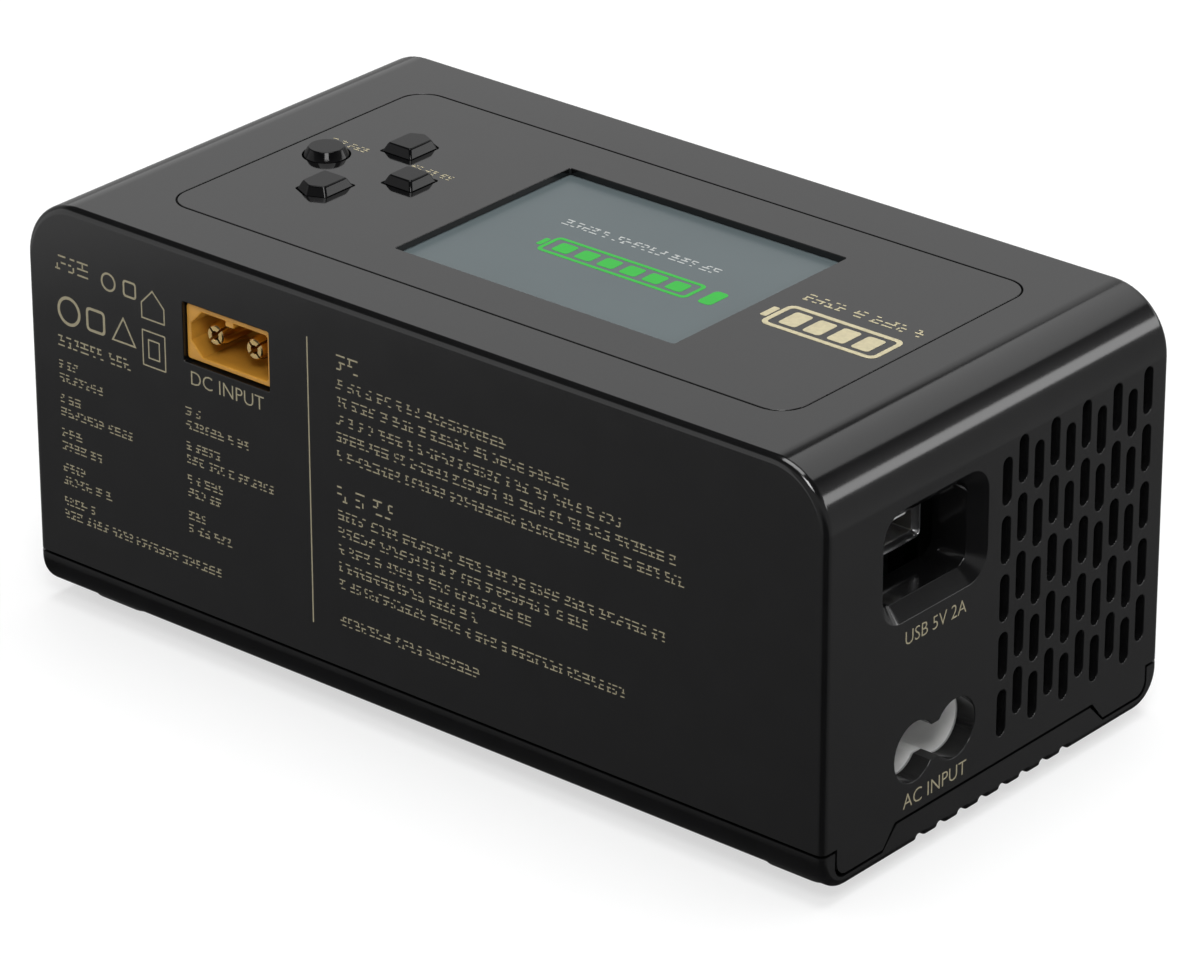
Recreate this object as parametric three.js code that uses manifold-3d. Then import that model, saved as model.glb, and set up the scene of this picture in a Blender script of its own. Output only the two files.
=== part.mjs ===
// Balance battery charger: a black two-piece housing with a flush top panel, colour display and four keys,
// a mains inlet and USB outlet on one end, a DC input on the back and two charging outputs on the front.
// Millimetres, +Z up, origin under the middle of the housing on the plane of the rubber feet.
// -Y is the user's side, -X the end with the mains inlet.

import * as THREE from 'three';
import { mergeVertices } from 'three/addons/utils/BufferGeometryUtils.js';
import Module from 'manifold-3d';

const wasm = await Module();
wasm.setup();

// ---------------------------------------------------------------- driving dimensions

const LENGTH = 140;
const WIDTH = 73;
const FOOT_HEIGHT = 2;
const TOP = FOOT_HEIGHT + 60;
const WALL = 2;
const ROOF = 2.4;
const EDGE_RADIUS = 9;
const FACE_CHAMFER = 0.8;
const GAP = 0.3;
const HAIR = 0.05;
const CUT = 1;
const OVERLAP = 0.5;

const END = LENGTH / 2;
const SIDE = WIDTH / 2;
const ROOF_INSIDE = TOP - ROOF;

const seam = { side: 8.1, end: 4, raised: 7, cornerY: 33.5, cornerR: 2, rampOut: 24, rampIn: 21.5 };
const tray = { edgeRadius: 5, floor: 3.9, grooves: 8, groovePitch: 4.47, grooveWidth: 2.5, grooveHeight: 1.1,
  grooveShoulder: 0.6, grooveLength: 32 };
const foot = { x: 60.5, y: 25, length: 12.6, width: 12.4, radius: 3, pad: 1, flare: 0.9, inset: 0.4 };
const screw = { x: 49, y: 30, shank: 2.5, head: 5.2, headHeight: 1.6, headZ: 2.5, length: 14, post: 7, seat: 8,
  rib: 2, boreSpare: 3 };

const panel = { x: -0.85, length: 108.3, width: 52.2, radius: 4, thickness: 0.95 };
const display = { x: -5.85, y: 0.1, length: 48.5, width: 36.2, glassRim: 0.8, glass: 1.05, moduleRim: 2,
  moduleHeight: 2.3 };
const keys = { x: 39.8, y: -0.1, reach: 7.7, outward: 1.55, height: 1.26, flare: 0.6, clearance: 0.25,
  flange: 0.8, flangeHeight: 0.6, length: 5.6, width: 4.2, point: 1, roundRadius: 2.6, squareSide: 4.1,
  squareRadius: 0.5 };
const keySwitch = { size: 5, top: 57.9, hole: 2.3, holeDepth: 1.3, plunger: 2, plungerDepth: 0.8 };
const board = { thickness: 1.6, mainZ: 12, displayZ: 54.4 };
const mainBoard = { x0: -46, x1: 61, width: 51, postsX: [-41, 56], postY: 21, post: 5.2 };
const displayBoard = { x: 3, length: 106, width: 49, postsX: [-46, 52.5], postY: 20.5, post: 4.4 };
const buzzer = { x: -38, y: -8, diameter: 12, height: 6.5 };

const vent = { columns: 10, rows: 5, pitchY: 3.42, pitchZ: 8.4, length: 6.8, width: 1.95, stagger: 2.05,
  firstY: -1, lowestZ: 13.85 };
const fan = { y: -16.4, z: 31.7, size: 35, depth: 10, front: -67.4, bore: 33, hub: 15, hubWall: 1.2, blades: 7,
  frameRadius: 2.5, spokeWidth: 2.2, plate: 1.5, bearing: 5.2, bearingLength: 5.5, shaft: 2, shaftHole: 2.4,
  screwSpacing: 29, screwHole: 3, rotorInset: 0.8, rotorShort: 2, chord: 7.4, bladeThickness: 0.9,
  tipGap: 0.7, rootPitch: 42, twist: 14 };
const usb = { y: 13.9, z: 43.5, mouth: 22, mouthHeight: 16, chamfer: 2, radius: 4, tunnel: 7.6,
  shellWidth: 13.1, shellHeight: 5.7, shellWall: 0.4, shellDepth: 8, tongueWidth: 10.6, tongueLow: 0.1,
  tongueHigh: 1.9, baseDepth: 3.5, baseGap: 0.15 };
const inlet = { y: 13.25, z: 15.7, lobe: 4.3, spread: 4.25, waist: 2.6, lip: 2.9, width: 20.5, height: 10.6,
  cavity: 12, pin: 2.4, pinTip: 7 };
const inputBoard = { x: -49.3, y0: 1, y1: 25.2, z0: 9, z1: 50 };
const dcInput = { x: 32.65, z: 49.7, openLength: 15.8, openHeight: 8.8, pinRecess: 1.75, keyWidth: 1.4,
  keyHeight: 0.8, boardLength: 20, boardZ0: 40, boardZ1: 54 };
const power = { length: 15.5, height: 8.1, recess: 0.65, wall: 0.7, cornerCut: 2.1, spacing: 7.2, pin: 3.4,
  cavity: 9, depth: 15.4 };
const outputs = { x: 32, z: 21, depth: 14, bore: 5.1, socket: 4.5, socketBore: 3.5, socketRecess: 0.6,
  socketDepth: 10 };
const balance = { z: 36, pins: 7, pitch: 2.5, length: 19.8, height: 5.8, wall: 0.8, cavity: 7, keyway: 1.8,
  keywayX: 6, keywayDepth: 5, keywayLow: 1, pin: 0.64, pinRecess: 1.5, pinHole: 1.2, stripHeight: 1.6,
  stripDepth: 2, slotHeight: 2.4, slotDepth: 4, slotEnd: 1 };
const outputBoard = { y: -21.5, length: 100, z0: 13.9, z1: 42 };
const heatsink = { y: -5, x0: -40, x1: 30, fins: 8, pitch: 3.8, thickness: 1.4, base: 3, height: 20 };
const transformer = { x: -18, y: 17.75, length: 24, width: 12.5, height: 22, limb: 4, windowX: 6, windowLength: 6,
  coilLength: 11.4, coilWidth: 17.5, boreLength: 6.6, boreWidth: 13.1 };
const capacitor = { y: 17.5, mainsX: -37.5, mainsRadius: 6.3, mainsHeight: 26, outputX: [18, 30], outputRadius: 5,
  outputHeight: 18 };
const choke = { x: 4, y: 17.5, radius: 6, wire: 2.6 };

// ---------------------------------------------------------------- materials

function material(color, roughness, metalness = 0) {
  return new THREE.MeshStandardMaterial({ color, roughness, metalness, flatShading: true });
}

const housingBlack = material(0x1b1b1c, 0.5);
const panelBlack = material(0x1e1e20, 0.3);
const keyBlack = material(0x0b0b0c, 0.12);
const rubberBlack = material(0x101010, 0.85);
const innerBlack = material(0x141414, 0.6);
const glassGrey = material(0x5d686b, 0.1);
const amber = material(0xc9891f, 0.4);
const gold = material(0xd9b25a, 0.25, 1);
const steel = material(0xb9bcc0, 0.3, 1);
const darkSteel = material(0x2a2a2c, 0.4, 1);
const aluminium = material(0xa9adb2, 0.4, 1);
const laminate = material(0x14492f, 0.5);
const ivory = material(0xd9d9d4, 0.5);
const ferrite = material(0x37383b, 0.7);
const copperTape = material(0xb9862f, 0.5);
const capacitorSleeve = material(0x22304f, 0.35);

// ---------------------------------------------------------------- solids

// A closed three.js geometry as a solid that can be joined and cut.
function solid(geometry) {
  const bare = geometry.index ? geometry.toNonIndexed() : geometry.clone();
  bare.deleteAttribute('normal');
  bare.deleteAttribute('uv');
  const merged = mergeVertices(bare, 1e-4);
  return new wasm.Manifold(new wasm.Mesh({
    numProp: 3,
    vertProperties: new Float32Array(merged.attributes.position.array),
    triVerts: new Uint32Array(merged.index.array),
  }));
}

function geometryOf(body) {
  const mesh = body.getMesh();
  const geometry = new THREE.BufferGeometry();
  geometry.setAttribute('position', new THREE.BufferAttribute(new Float32Array(mesh.vertProperties), 3));
  geometry.setIndex(new THREE.BufferAttribute(new Uint32Array(mesh.triVerts), 1));
  geometry.computeVertexNormals();
  return geometry;
}

function union(first, ...rest) {
  return rest.reduce((whole, piece) => whole.add(piece), first);
}

function cut(first, ...tools) {
  return tools.reduce((whole, tool) => whole.subtract(tool), first);
}

function box(x0, x1, y0, y1, z0, z1) {
  const geometry = new THREE.BoxGeometry(x1 - x0, y1 - y0, z1 - z0);
  return solid(geometry.translate((x0 + x1) / 2, (y0 + y1) / 2, (z0 + z1) / 2));
}

// Round bars along each axis: centre of the section, then the two ends.
function barZ(x, y, radius, z0, z1, sides = 16) {
  const geometry = new THREE.CylinderGeometry(radius, radius, z1 - z0, sides).rotateX(Math.PI / 2);
  return solid(geometry.translate(x, y, (z0 + z1) / 2));
}

function barX(y, z, radius, x0, x1, sides = 16, tip = radius) {
  const geometry = new THREE.CylinderGeometry(tip, radius, x1 - x0, sides).rotateZ(Math.PI / 2);
  return solid(geometry.translate((x0 + x1) / 2, y, z));
}

function barY(x, z, radius, y0, y1, sides = 16) {
  const geometry = new THREE.CylinderGeometry(radius, radius, y1 - y0, sides);
  return solid(geometry.translate(x, (y0 + y1) / 2, z));
}

function roundedRect(width, height, radius) {
  const shape = new THREE.Shape();
  const x = width / 2 - radius;
  const y = height / 2 - radius;
  shape.absarc(x, y, radius, 0, Math.PI / 2);
  shape.absarc(-x, y, radius, Math.PI / 2, Math.PI);
  shape.absarc(-x, -y, radius, Math.PI, Math.PI * 1.5);
  shape.absarc(x, -y, radius, Math.PI * 1.5, Math.PI * 2);
  return shape;
}

function polygon(points) {
  return new THREE.Shape(points.map(([x, y]) => new THREE.Vector2(x, y)));
}

// Plate from z0 to z1; with a bevel, the outline grows by the bevel between its two end faces.
function plateZ(shape, z0, z1, segments = 3, bevel = 0) {
  const geometry = new THREE.ExtrudeGeometry(shape, {
    depth: z1 - z0 - 2 * bevel, curveSegments: segments, bevelEnabled: bevel > 0,
    bevelThickness: bevel, bevelSize: bevel, bevelSegments: 1,
  });
  return geometry.translate(0, 0, z0 + bevel);
}

const TO_X = new THREE.Matrix4().makeBasis(
  new THREE.Vector3(0, 1, 0), new THREE.Vector3(0, 0, 1), new THREE.Vector3(1, 0, 0));
const TO_Y = new THREE.Matrix4().makeBasis(
  new THREE.Vector3(1, 0, 0), new THREE.Vector3(0, 0, 1), new THREE.Vector3(0, -1, 0));

// The same plate with its outline in the Y-Z plane and its thickness from x0 to x1.
function plateX(shape, x0, x1, segments = 3, bevel = 0) {
  return plateZ(shape, x0, x1, segments, bevel).applyMatrix4(TO_X);
}

// The same plate with its outline in the X-Z plane and its thickness from y0 to y1.
function plateY(shape, y0, y1, segments = 3, bevel = 0) {
  return plateZ(shape, -y1, -y0, segments, bevel).applyMatrix4(TO_Y);
}

// Frustum between two circles or outlines, growing upward from `shape` by `grow` over its height.
function flaredPlate(shape, z0, z1, grow, segments) {
  const geometry = new THREE.ExtrudeGeometry(shape, {
    depth: CUT, curveSegments: segments, bevelEnabled: true,
    bevelThickness: z1 - z0, bevelSize: grow, bevelSegments: 1,
  });
  const grown = solid(geometry.translate(0, 0, z1));
  return grown.intersect(box(-END, END, -END, END, z0 - CUT, z1));
}

const charger = new THREE.Group();

function piece(name, body, look) {
  const geometry = body instanceof THREE.BufferGeometry ? body : geometryOf(body);
  const mesh = new THREE.Mesh(geometry, look);
  mesh.name = name;
  charger.add(mesh);
}

// ---------------------------------------------------------------- housing

// Arched outline of the cover, seen along Y, drawn `inset` inside the outer skin.
function archOutline(inset, roofInset, bottom) {
  const radius = EDGE_RADIUS - inset;
  const centreX = END - EDGE_RADIUS;
  const top = TOP - roofInset;
  const shape = new THREE.Shape();
  shape.moveTo(END - inset, bottom);
  shape.lineTo(END - inset, top - radius);
  shape.absarc(centreX, top - radius, radius, 0, Math.PI / 2);
  shape.absarc(-centreX, top - radius, radius, Math.PI / 2, Math.PI);
  shape.lineTo(-END + inset, bottom);
  return shape;
}

// Outline, seen along X, of everything below the parting line, lowered by `drop`.
function belowSeam(drop, bottom, halfWidth) {
  const right = new THREE.Path();
  const corner = seam.cornerY + drop;
  right.moveTo(halfWidth, bottom);
  right.lineTo(halfWidth, seam.side - drop);
  right.lineTo(corner, seam.side - drop);
  right.absarc(corner - seam.cornerR, seam.end + seam.cornerR - drop, seam.cornerR, 0, -Math.PI / 2, true);
  right.lineTo(seam.rampOut, seam.end - drop);
  right.lineTo(seam.rampIn - drop, seam.raised - drop);
  const half = right.getPoints(3);
  const left = half.map((p) => new THREE.Vector2(-p.x, p.y)).reverse();
  return new THREE.Shape([...half, ...left]);
}

const keyOutlines = [
  { name: 'up', dx: 0, dy: 1, sides: (grow) => house(grow, 1) },
  { name: 'down', dx: 0, dy: -1, sides: (grow) => house(grow, -1) },
  { name: 'enter', dx: 1, dy: 0, sides: (grow) => roundOutline(keys.roundRadius + grow) },
  { name: 'back', dx: -1, dy: 0, sides: squareOutline },
].map((key) => ({
  ...key,
  x: keys.x + key.dx * keys.reach,
  y: keys.y + key.dy * (keys.reach + keys.outward),
  segments: key.name === 'enter' ? 20 : 2,
}));

function roundOutline(radius) {
  const shape = new THREE.Shape();
  shape.absarc(0, 0, radius, 0, Math.PI * 2);
  return shape;
}

function squareOutline(grow) {
  const side = keys.squareSide + 2 * grow;
  return roundedRect(side, side, keys.squareRadius);
}

// Five-sided key outline pointing along +Y or -Y.
function house(grow, toward) {
  const half = keys.length / 2 + grow;
  const side = keys.width / 2 + grow;
  const shoulder = half - keys.point - grow * 0.3;
  const corners = [[-side, -half], [side, -half], [side, shoulder], [0, half], [-side, shoulder]];
  return polygon(toward > 0 ? corners : corners.map(([x, y]) => [-x, -y]));
}

function keyPlate(key, grow, z0, z1) {
  return solid(plateZ(key.sides(grow), z0, z1, key.segments).translate(key.x, key.y, 0));
}

function figureEight() {
  const angle = Math.asin(inlet.waist / inlet.lobe);
  const shape = new THREE.Shape();
  shape.absarc(inlet.spread, 0, inlet.lobe, -Math.PI + angle, Math.PI - angle);
  shape.absarc(-inlet.spread, 0, inlet.lobe, angle, Math.PI * 2 - angle);
  return shape;
}

function inletCut(x0, x1) {
  return solid(plateX(figureEight(), x0, x1, 12).translate(0, inlet.y, inlet.z));
}

function usbMouth() {
  const throat = roundedRect(usb.mouth - 2 * usb.chamfer, usb.mouthHeight - 2 * usb.chamfer,
    usb.radius - usb.chamfer);
  const flare = plateX(throat, -END - usb.chamfer - CUT, -END + usb.chamfer, 3, usb.chamfer);
  const bore = plateX(throat, -END, -END + usb.tunnel + CUT, 3);
  return union(solid(flare), solid(bore)).translate([0, usb.y, usb.z]);
}

function ventSlots(side) {
  const half = vent.length / 2;
  const nose = vent.width / 2;
  const outline = polygon([[-nose, nose - half], [0, -half], [nose, nose - half],
    [nose, half - nose], [0, half], [-nose, half - nose]]);
  const slots = [];
  for (let column = 0; column < vent.columns; column += 1) {
    for (let row = 0; row < vent.rows; row += 1) {
      const y = vent.firstY - column * vent.pitchY;
      const z = vent.lowestZ + row * vent.pitchZ + (column % 2) * vent.stagger;
      const plate = plateX(outline, side * END - WALL - CUT, side * END + WALL + CUT);
      slots.push(solid(plate.translate(0, y, z)));
    }
  }
  return slots;
}

function screwPosts() {
  const posts = [];
  for (const sx of [-1, 1]) {
    for (const sy of [-1, 1]) {
      const x = sx * screw.x;
      const y = sy * screw.y;
      const wall = sy * (SIDE - WALL + OVERLAP);
      const post = barZ(x, y, screw.post / 2, seam.side, ROOF_INSIDE + CUT, 12);
      const rib = box(x - screw.rib / 2, x + screw.rib / 2, Math.min(y, wall), Math.max(y, wall),
        seam.side + CUT, ROOF_INSIDE + OVERLAP);
      const boreTop = screw.headZ + screw.length + screw.boreSpare;
      const bore = barZ(x, y, screw.shank / 2 + GAP, seam.side - CUT, boreTop, 12);
      posts.push(cut(union(post, rib), bore));
    }
  }
  return posts;
}

function topCover() {
  const skin = solid(plateY(archOutline(FACE_CHAMFER, FACE_CHAMFER, 0), -SIDE, SIDE, 8, FACE_CHAMFER));
  const hollow = solid(plateY(archOutline(WALL, ROOF, -CUT), -SIDE + WALL, SIDE - WALL, 6));
  const under = solid(plateX(belowSeam(0, -CUT, SIDE + CUT), -END - CUT, END + CUT));
  const insideEnd = -END + WALL - OVERLAP;
  const tunnel = box(insideEnd, -END + usb.tunnel, usb.y - usb.mouth / 2 + OVERLAP, usb.y + usb.mouth / 2 - OVERLAP,
    usb.z - usb.mouthHeight / 2 + OVERLAP, usb.z + usb.mouthHeight / 2 - OVERLAP);
  const inletBoss = box(insideEnd, -END + inlet.lip, inlet.y - inlet.width / 2, inlet.y + inlet.width / 2,
    inlet.z - inlet.height / 2, inlet.z + inlet.height / 2);
  const boardPosts = [];
  for (const x of displayBoard.postsX) {
    for (const y of [-displayBoard.postY, displayBoard.postY]) {
      boardPosts.push(barZ(x, y, displayBoard.post / 2, board.displayZ + board.thickness + HAIR,
        ROOF_INSIDE + CUT, 10));
    }
  }
  const pocket = solid(plateZ(roundedRect(panel.length + 2 * keys.clearance, panel.width + 2 * keys.clearance,
    panel.radius), TOP - panel.thickness - HAIR, TOP + CUT, 5).translate(panel.x, 0, 0));
  const rim = display.glassRim + GAP;
  const window = box(display.x - display.length / 2 - rim, display.x + display.length / 2 + rim,
    display.y - display.width / 2 - rim, display.y + display.width / 2 + rim, ROOF_INSIDE - CUT, TOP + CUT);
  const dcHole = box(dcInput.x - dcInput.openLength / 2, dcInput.x + dcInput.openLength / 2,
    SIDE - WALL - CUT, SIDE + CUT, dcInput.z - dcInput.openHeight / 2, dcInput.z + dcInput.openHeight / 2);
  const frontHoles = [];
  for (const side of [-1, 1]) {
    const x = side * outputs.x;
    frontHoles.push(box(x - power.length / 2 - GAP, x + power.length / 2 + GAP, -SIDE - CUT, -SIDE + WALL + CUT,
      outputs.z - power.height / 2 - GAP, outputs.z + power.height / 2 + GAP));
    frontHoles.push(box(x - balance.length / 2 - GAP, x + balance.length / 2 + GAP, -SIDE - CUT, -SIDE + WALL + CUT,
      balance.z - balance.height / 2 - GAP, balance.z + balance.height / 2 + GAP));
  }
  const keyHoles = keyOutlines.map((key) => keyPlate(key, keys.flare + keys.clearance, ROOF_INSIDE - CUT, TOP + CUT));
  const shell = union(cut(skin, hollow), tunnel, inletBoss, ...boardPosts, ...screwPosts());
  return cut(shell, under, usbMouth(), inletCut(-END - CUT, -END + inlet.lip + CUT), pocket, window, dcHole,
    ...frontHoles, ...keyHoles, ...ventSlots(-1), ...ventSlots(1));
}

function footOutline(shrink) {
  return roundedRect(foot.length - 2 * shrink, foot.width - 2 * shrink, foot.radius - shrink);
}

// Grooves that run inward from both ends of the tray's underside.
function trayGrooves() {
  const side = tray.grooveWidth / 2;
  const outline = polygon([[-side, -CUT], [side, -CUT], [side, tray.grooveShoulder],
    [side / 2, tray.grooveHeight], [-side / 2, tray.grooveHeight], [-side, tray.grooveShoulder]]);
  const grooves = [];
  for (const end of [-1, 1]) {
    const inner = end * (END - tray.grooveLength);
    const outer = end * (END + CUT);
    for (let groove = 0; groove < tray.grooves; groove += 1) {
      const y = (groove - (tray.grooves - 1) / 2) * tray.groovePitch;
      const plate = plateX(outline, Math.min(inner, outer), Math.max(inner, outer));
      grooves.push(solid(plate.translate(0, y, FOOT_HEIGHT)));
    }
  }
  return grooves;
}

function bottomTray() {
  const block = solid(plateX(belowSeam(GAP, FOOT_HEIGHT, SIDE), -END, END, 3));
  const trough = new THREE.Shape();
  const flat = SIDE - tray.edgeRadius;
  trough.moveTo(-flat, FOOT_HEIGHT);
  trough.absarc(flat, FOOT_HEIGHT + tray.edgeRadius, tray.edgeRadius, -Math.PI / 2, 0);
  trough.lineTo(SIDE, TOP);
  trough.lineTo(-SIDE, TOP);
  trough.absarc(-flat, FOOT_HEIGHT + tray.edgeRadius, tray.edgeRadius, Math.PI, Math.PI * 1.5);
  const rounded = block.intersect(solid(plateX(trough, -END, END, 5)));
  const inside = SIDE - WALL;
  const pocket = box(-END + WALL + GAP, END - WALL - GAP, -inside, inside, tray.floor, TOP);
  const room = box(-END, END, -inside + GAP, inside - GAP, 0, TOP);
  const tools = trayGrooves();
  let body = cut(rounded, pocket);
  for (const sx of [-1, 1]) {
    for (const sy of [-1, 1]) {
      const boss = flaredPlate(footOutline(0), foot.pad, FOOT_HEIGHT + HAIR, foot.flare, 3);
      body = body.add(boss.translate([sx * foot.x, sy * foot.y, 0]));
      const x = sx * screw.x;
      const y = sy * screw.y;
      const seat = barZ(x, y, screw.seat / 2, tray.floor - OVERLAP, seam.side - GAP, 12);
      body = body.add(seat.intersect(room));
      tools.push(barZ(x, y, screw.head / 2 + GAP, 0, screw.headZ + screw.headHeight + HAIR, 16));
      tools.push(barZ(x, y, screw.shank / 2 + GAP, 0, TOP, 12));
    }
  }
  for (const x of mainBoard.postsX) {
    for (const y of [-mainBoard.postY, mainBoard.postY]) {
      body = body.add(barZ(x, y, mainBoard.post / 2, tray.floor - OVERLAP, board.mainZ - GAP, 10));
    }
  }
  return cut(body, ...tools);
}

function topPanel() {
  const plate = plateZ(roundedRect(panel.length, panel.width, panel.radius), TOP - panel.thickness, TOP, 5);
  const window = plateZ(roundedRect(display.length, display.width, 0.4), TOP - CUT - ROOF, TOP + CUT, 2);
  return cut(solid(plate.translate(panel.x, 0, 0)), solid(window.translate(display.x, display.y, 0)),
    ...keyOutlines.map((key) => keyPlate(key, keys.flare + keys.clearance, ROOF_INSIDE, TOP + CUT)));
}

function housingScrew(x, y) {
  const shaft = barZ(x, y, screw.shank / 2, screw.headZ + screw.headHeight - OVERLAP,
    screw.headZ + screw.length, 10);
  return union(barZ(x, y, screw.head / 2, screw.headZ, screw.headZ + screw.headHeight, 16), shaft);
}

piece('top_cover', topCover(), housingBlack);
piece('bottom_tray', bottomTray(), housingBlack);
piece('top_panel', topPanel(), panelBlack);
const corners = [['rear_left', -1, 1], ['rear_right', 1, 1], ['front_left', -1, -1], ['front_right', 1, -1]];
for (const [name, sx, sy] of corners) {
  const pad = solid(plateZ(footOutline(foot.inset), 0, foot.pad - HAIR, 3));
  piece(`foot_${name}`, pad.translate([sx * foot.x, sy * foot.y, 0]), rubberBlack);
  piece(`housing_screw_${name}`, housingScrew(sx * screw.x, sy * screw.y), darkSteel);
}

// ---------------------------------------------------------------- display and keys

const glassTop = TOP - display.glass;
const glassBottom = ROOF_INSIDE + 0.2;
const displayBoardTop = board.displayZ + board.thickness;

function centredBox(x, y, length, width, z0, z1) {
  return box(x - length / 2, x + length / 2, y - width / 2, y + width / 2, z0, z1);
}

piece('display_glass', centredBox(display.x, display.y, display.length + 2 * display.glassRim,
  display.width + 2 * display.glassRim, glassBottom, glassTop), glassGrey);
piece('display_module', centredBox(display.x, display.y, display.length + 2 * display.moduleRim,
  display.width + 2 * display.moduleRim, glassBottom - GAP - display.moduleHeight, glassBottom - GAP), steel);
piece('display_board', centredBox(displayBoard.x, 0, displayBoard.length, displayBoard.width, board.displayZ,
  displayBoardTop), laminate);

const flangeTop = ROOF_INSIDE - GAP;
const flangeBottom = flangeTop - keys.flangeHeight;

for (const key of keyOutlines) {
  const crown = new THREE.ExtrudeGeometry(key.sides(0), {
    depth: TOP - flangeTop, curveSegments: key.segments, bevelEnabled: true,
    bevelThickness: keys.height, bevelSize: keys.flare, bevelSegments: 1,
  });
  const cap = solid(crown.translate(key.x, key.y, flangeTop));
  const above = box(-END, END, -SIDE, SIDE, flangeTop - HAIR, TOP + keys.height + CUT);
  const flange = keyPlate(key, keys.flare + keys.flange, flangeBottom, flangeTop);
  piece(`${key.name}_key`, union(cap.intersect(above), flange), keyBlack);
  piece(`${key.name}_switch_plunger`, barZ(key.x, key.y, keySwitch.plunger / 2,
    keySwitch.top - keySwitch.plungerDepth, flangeBottom - HAIR, 12), ivory);
  const body = centredBox(key.x, key.y, keySwitch.size, keySwitch.size, displayBoardTop + HAIR, keySwitch.top);
  piece(`${key.name}_switch`, cut(body, barZ(key.x, key.y, keySwitch.hole / 2,
    keySwitch.top - keySwitch.holeDepth, keySwitch.top + CUT, 12)), innerBlack);
}

piece('buzzer', barZ(buzzer.x, buzzer.y, buzzer.diameter / 2, board.displayZ - buzzer.height,
  board.displayZ - HAIR, 20), innerBlack);

// ---------------------------------------------------------------- mains inlet and USB outlet

const inletFront = -END + inlet.lip + GAP;
const inletBody = box(inletFront, inputBoard.x - GAP, inlet.y - inlet.width / 2, inlet.y + inlet.width / 2,
  inlet.z - inlet.height / 2, inlet.z + inlet.height / 2);
const inletBores = [-1, 1].map((side) => barX(inlet.y + side * inlet.spread, inlet.z, inlet.pin / 2 + GAP,
  inletFront, inputBoard.x, 12));
piece('mains_inlet', cut(inletBody, inletCut(inletFront - CUT, inletFront + inlet.cavity), ...inletBores), ivory);
for (const [name, side] of [['line', -1], ['neutral', 1]]) {
  piece(`mains_pin_${name}`, barX(inlet.y + side * inlet.spread, inlet.z, inlet.pin / 2, -END + inlet.pinTip,
    inputBoard.x - GAP, 12), steel);
}

const usbFront = -END + usb.shellDepth;
const usbBack = inputBoard.x - GAP;
function usbBox(shrink, x0, x1) {
  return box(x0, x1, usb.y - usb.shellWidth / 2 + shrink, usb.y + usb.shellWidth / 2 - shrink,
    usb.z - usb.shellHeight / 2 + shrink, usb.z + usb.shellHeight / 2 - shrink);
}
piece('usb_shell', cut(usbBox(0, usbFront, usbBack), usbBox(usb.shellWall, usbFront - CUT, usbBack + CUT)), steel);
piece('usb_tongue', union(
  box(usbFront + CUT, usbBack - usb.baseDepth + OVERLAP, usb.y - usb.tongueWidth / 2, usb.y + usb.tongueWidth / 2,
    usb.z + usb.tongueLow, usb.z + usb.tongueHigh),
  usbBox(usb.shellWall + usb.baseGap, usbBack - usb.baseDepth, usbBack),
), ivory);
piece('input_board', box(inputBoard.x, inputBoard.x + board.thickness, inputBoard.y0, inputBoard.y1,
  inputBoard.z0, inputBoard.z1), laminate);

// ---------------------------------------------------------------- DC input and charging outputs

// Section of the power connector: one long side square, the other with cut corners.
function powerOutline(length, height, cornerCut) {
  const x = length / 2;
  const z = height / 2;
  return polygon([[-x, -z], [x - cornerCut, -z], [x, -z + cornerCut], [x, z - cornerCut], [x - cornerCut, z],
    [-x, z]]);
}

const dcFront = SIDE - power.recess;
const dcBack = dcFront - power.depth;
const dcPinTip = SIDE - dcInput.pinRecess;
const dcCavity = solid(plateY(powerOutline(power.length - 2 * power.wall, power.height - 2 * power.wall,
  power.cornerCut), dcFront - power.cavity, dcFront + CUT).translate(dcInput.x, 0, dcInput.z));
const dcRoof = dcInput.z + power.height / 2 - power.wall;
const dcKey = box(dcInput.x - dcInput.keyWidth / 2, dcInput.x + dcInput.keyWidth / 2, dcFront - power.cavity,
  dcFront, dcRoof - dcInput.keyHeight, dcRoof + OVERLAP);
const dcBores = [-1, 1].map((side) => barY(dcInput.x + side * power.spacing / 2, dcInput.z, power.pin / 2 + GAP,
  dcBack - CUT, dcFront, 12));
const dcBlock = box(dcInput.x - power.length / 2, dcInput.x + power.length / 2, dcBack, dcFront,
  dcInput.z - power.height / 2, dcInput.z + power.height / 2);
piece('dc_input_housing', cut(union(cut(dcBlock, dcCavity), dcKey), ...dcBores), amber);
for (const [name, side] of [['positive', -1], ['negative', 1]]) {
  const x = dcInput.x + side * power.spacing / 2;
  piece(`dc_input_pin_${name}`, barY(x, dcInput.z, power.pin / 2, dcBack, dcPinTip, 14), gold);
}
piece('dc_input_board', box(dcInput.x - dcInput.boardLength / 2, dcInput.x + dcInput.boardLength / 2,
  dcBack - GAP - board.thickness, dcBack - GAP, dcInput.boardZ0, dcInput.boardZ1), laminate);

const outFront = -SIDE + power.recess;
const outBack = outFront + outputs.depth;

function powerOutput(number, x) {
  const contacts = [-1, 1].map((end) => x + end * power.spacing / 2);
  const block = solid(plateY(powerOutline(power.length, power.height, power.cornerCut), outFront, outBack)
    .translate(x, 0, outputs.z));
  const bores = contacts.map((cx) => barY(cx, outputs.z, outputs.bore / 2, outFront - CUT, outBack + CUT, 14));
  piece(`output_${number}_housing`, cut(block, ...bores), amber);
  ['positive', 'negative'].forEach((pole, index) => {
    const tube = barY(contacts[index], outputs.z, outputs.socket / 2, outFront + outputs.socketRecess, outBack, 14);
    const bore = barY(contacts[index], outputs.z, outputs.socketBore / 2, outFront - CUT,
      outFront + outputs.socketDepth, 12);
    piece(`output_${number}_contact_${pole}`, cut(tube, bore), gold);
  });
}

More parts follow.
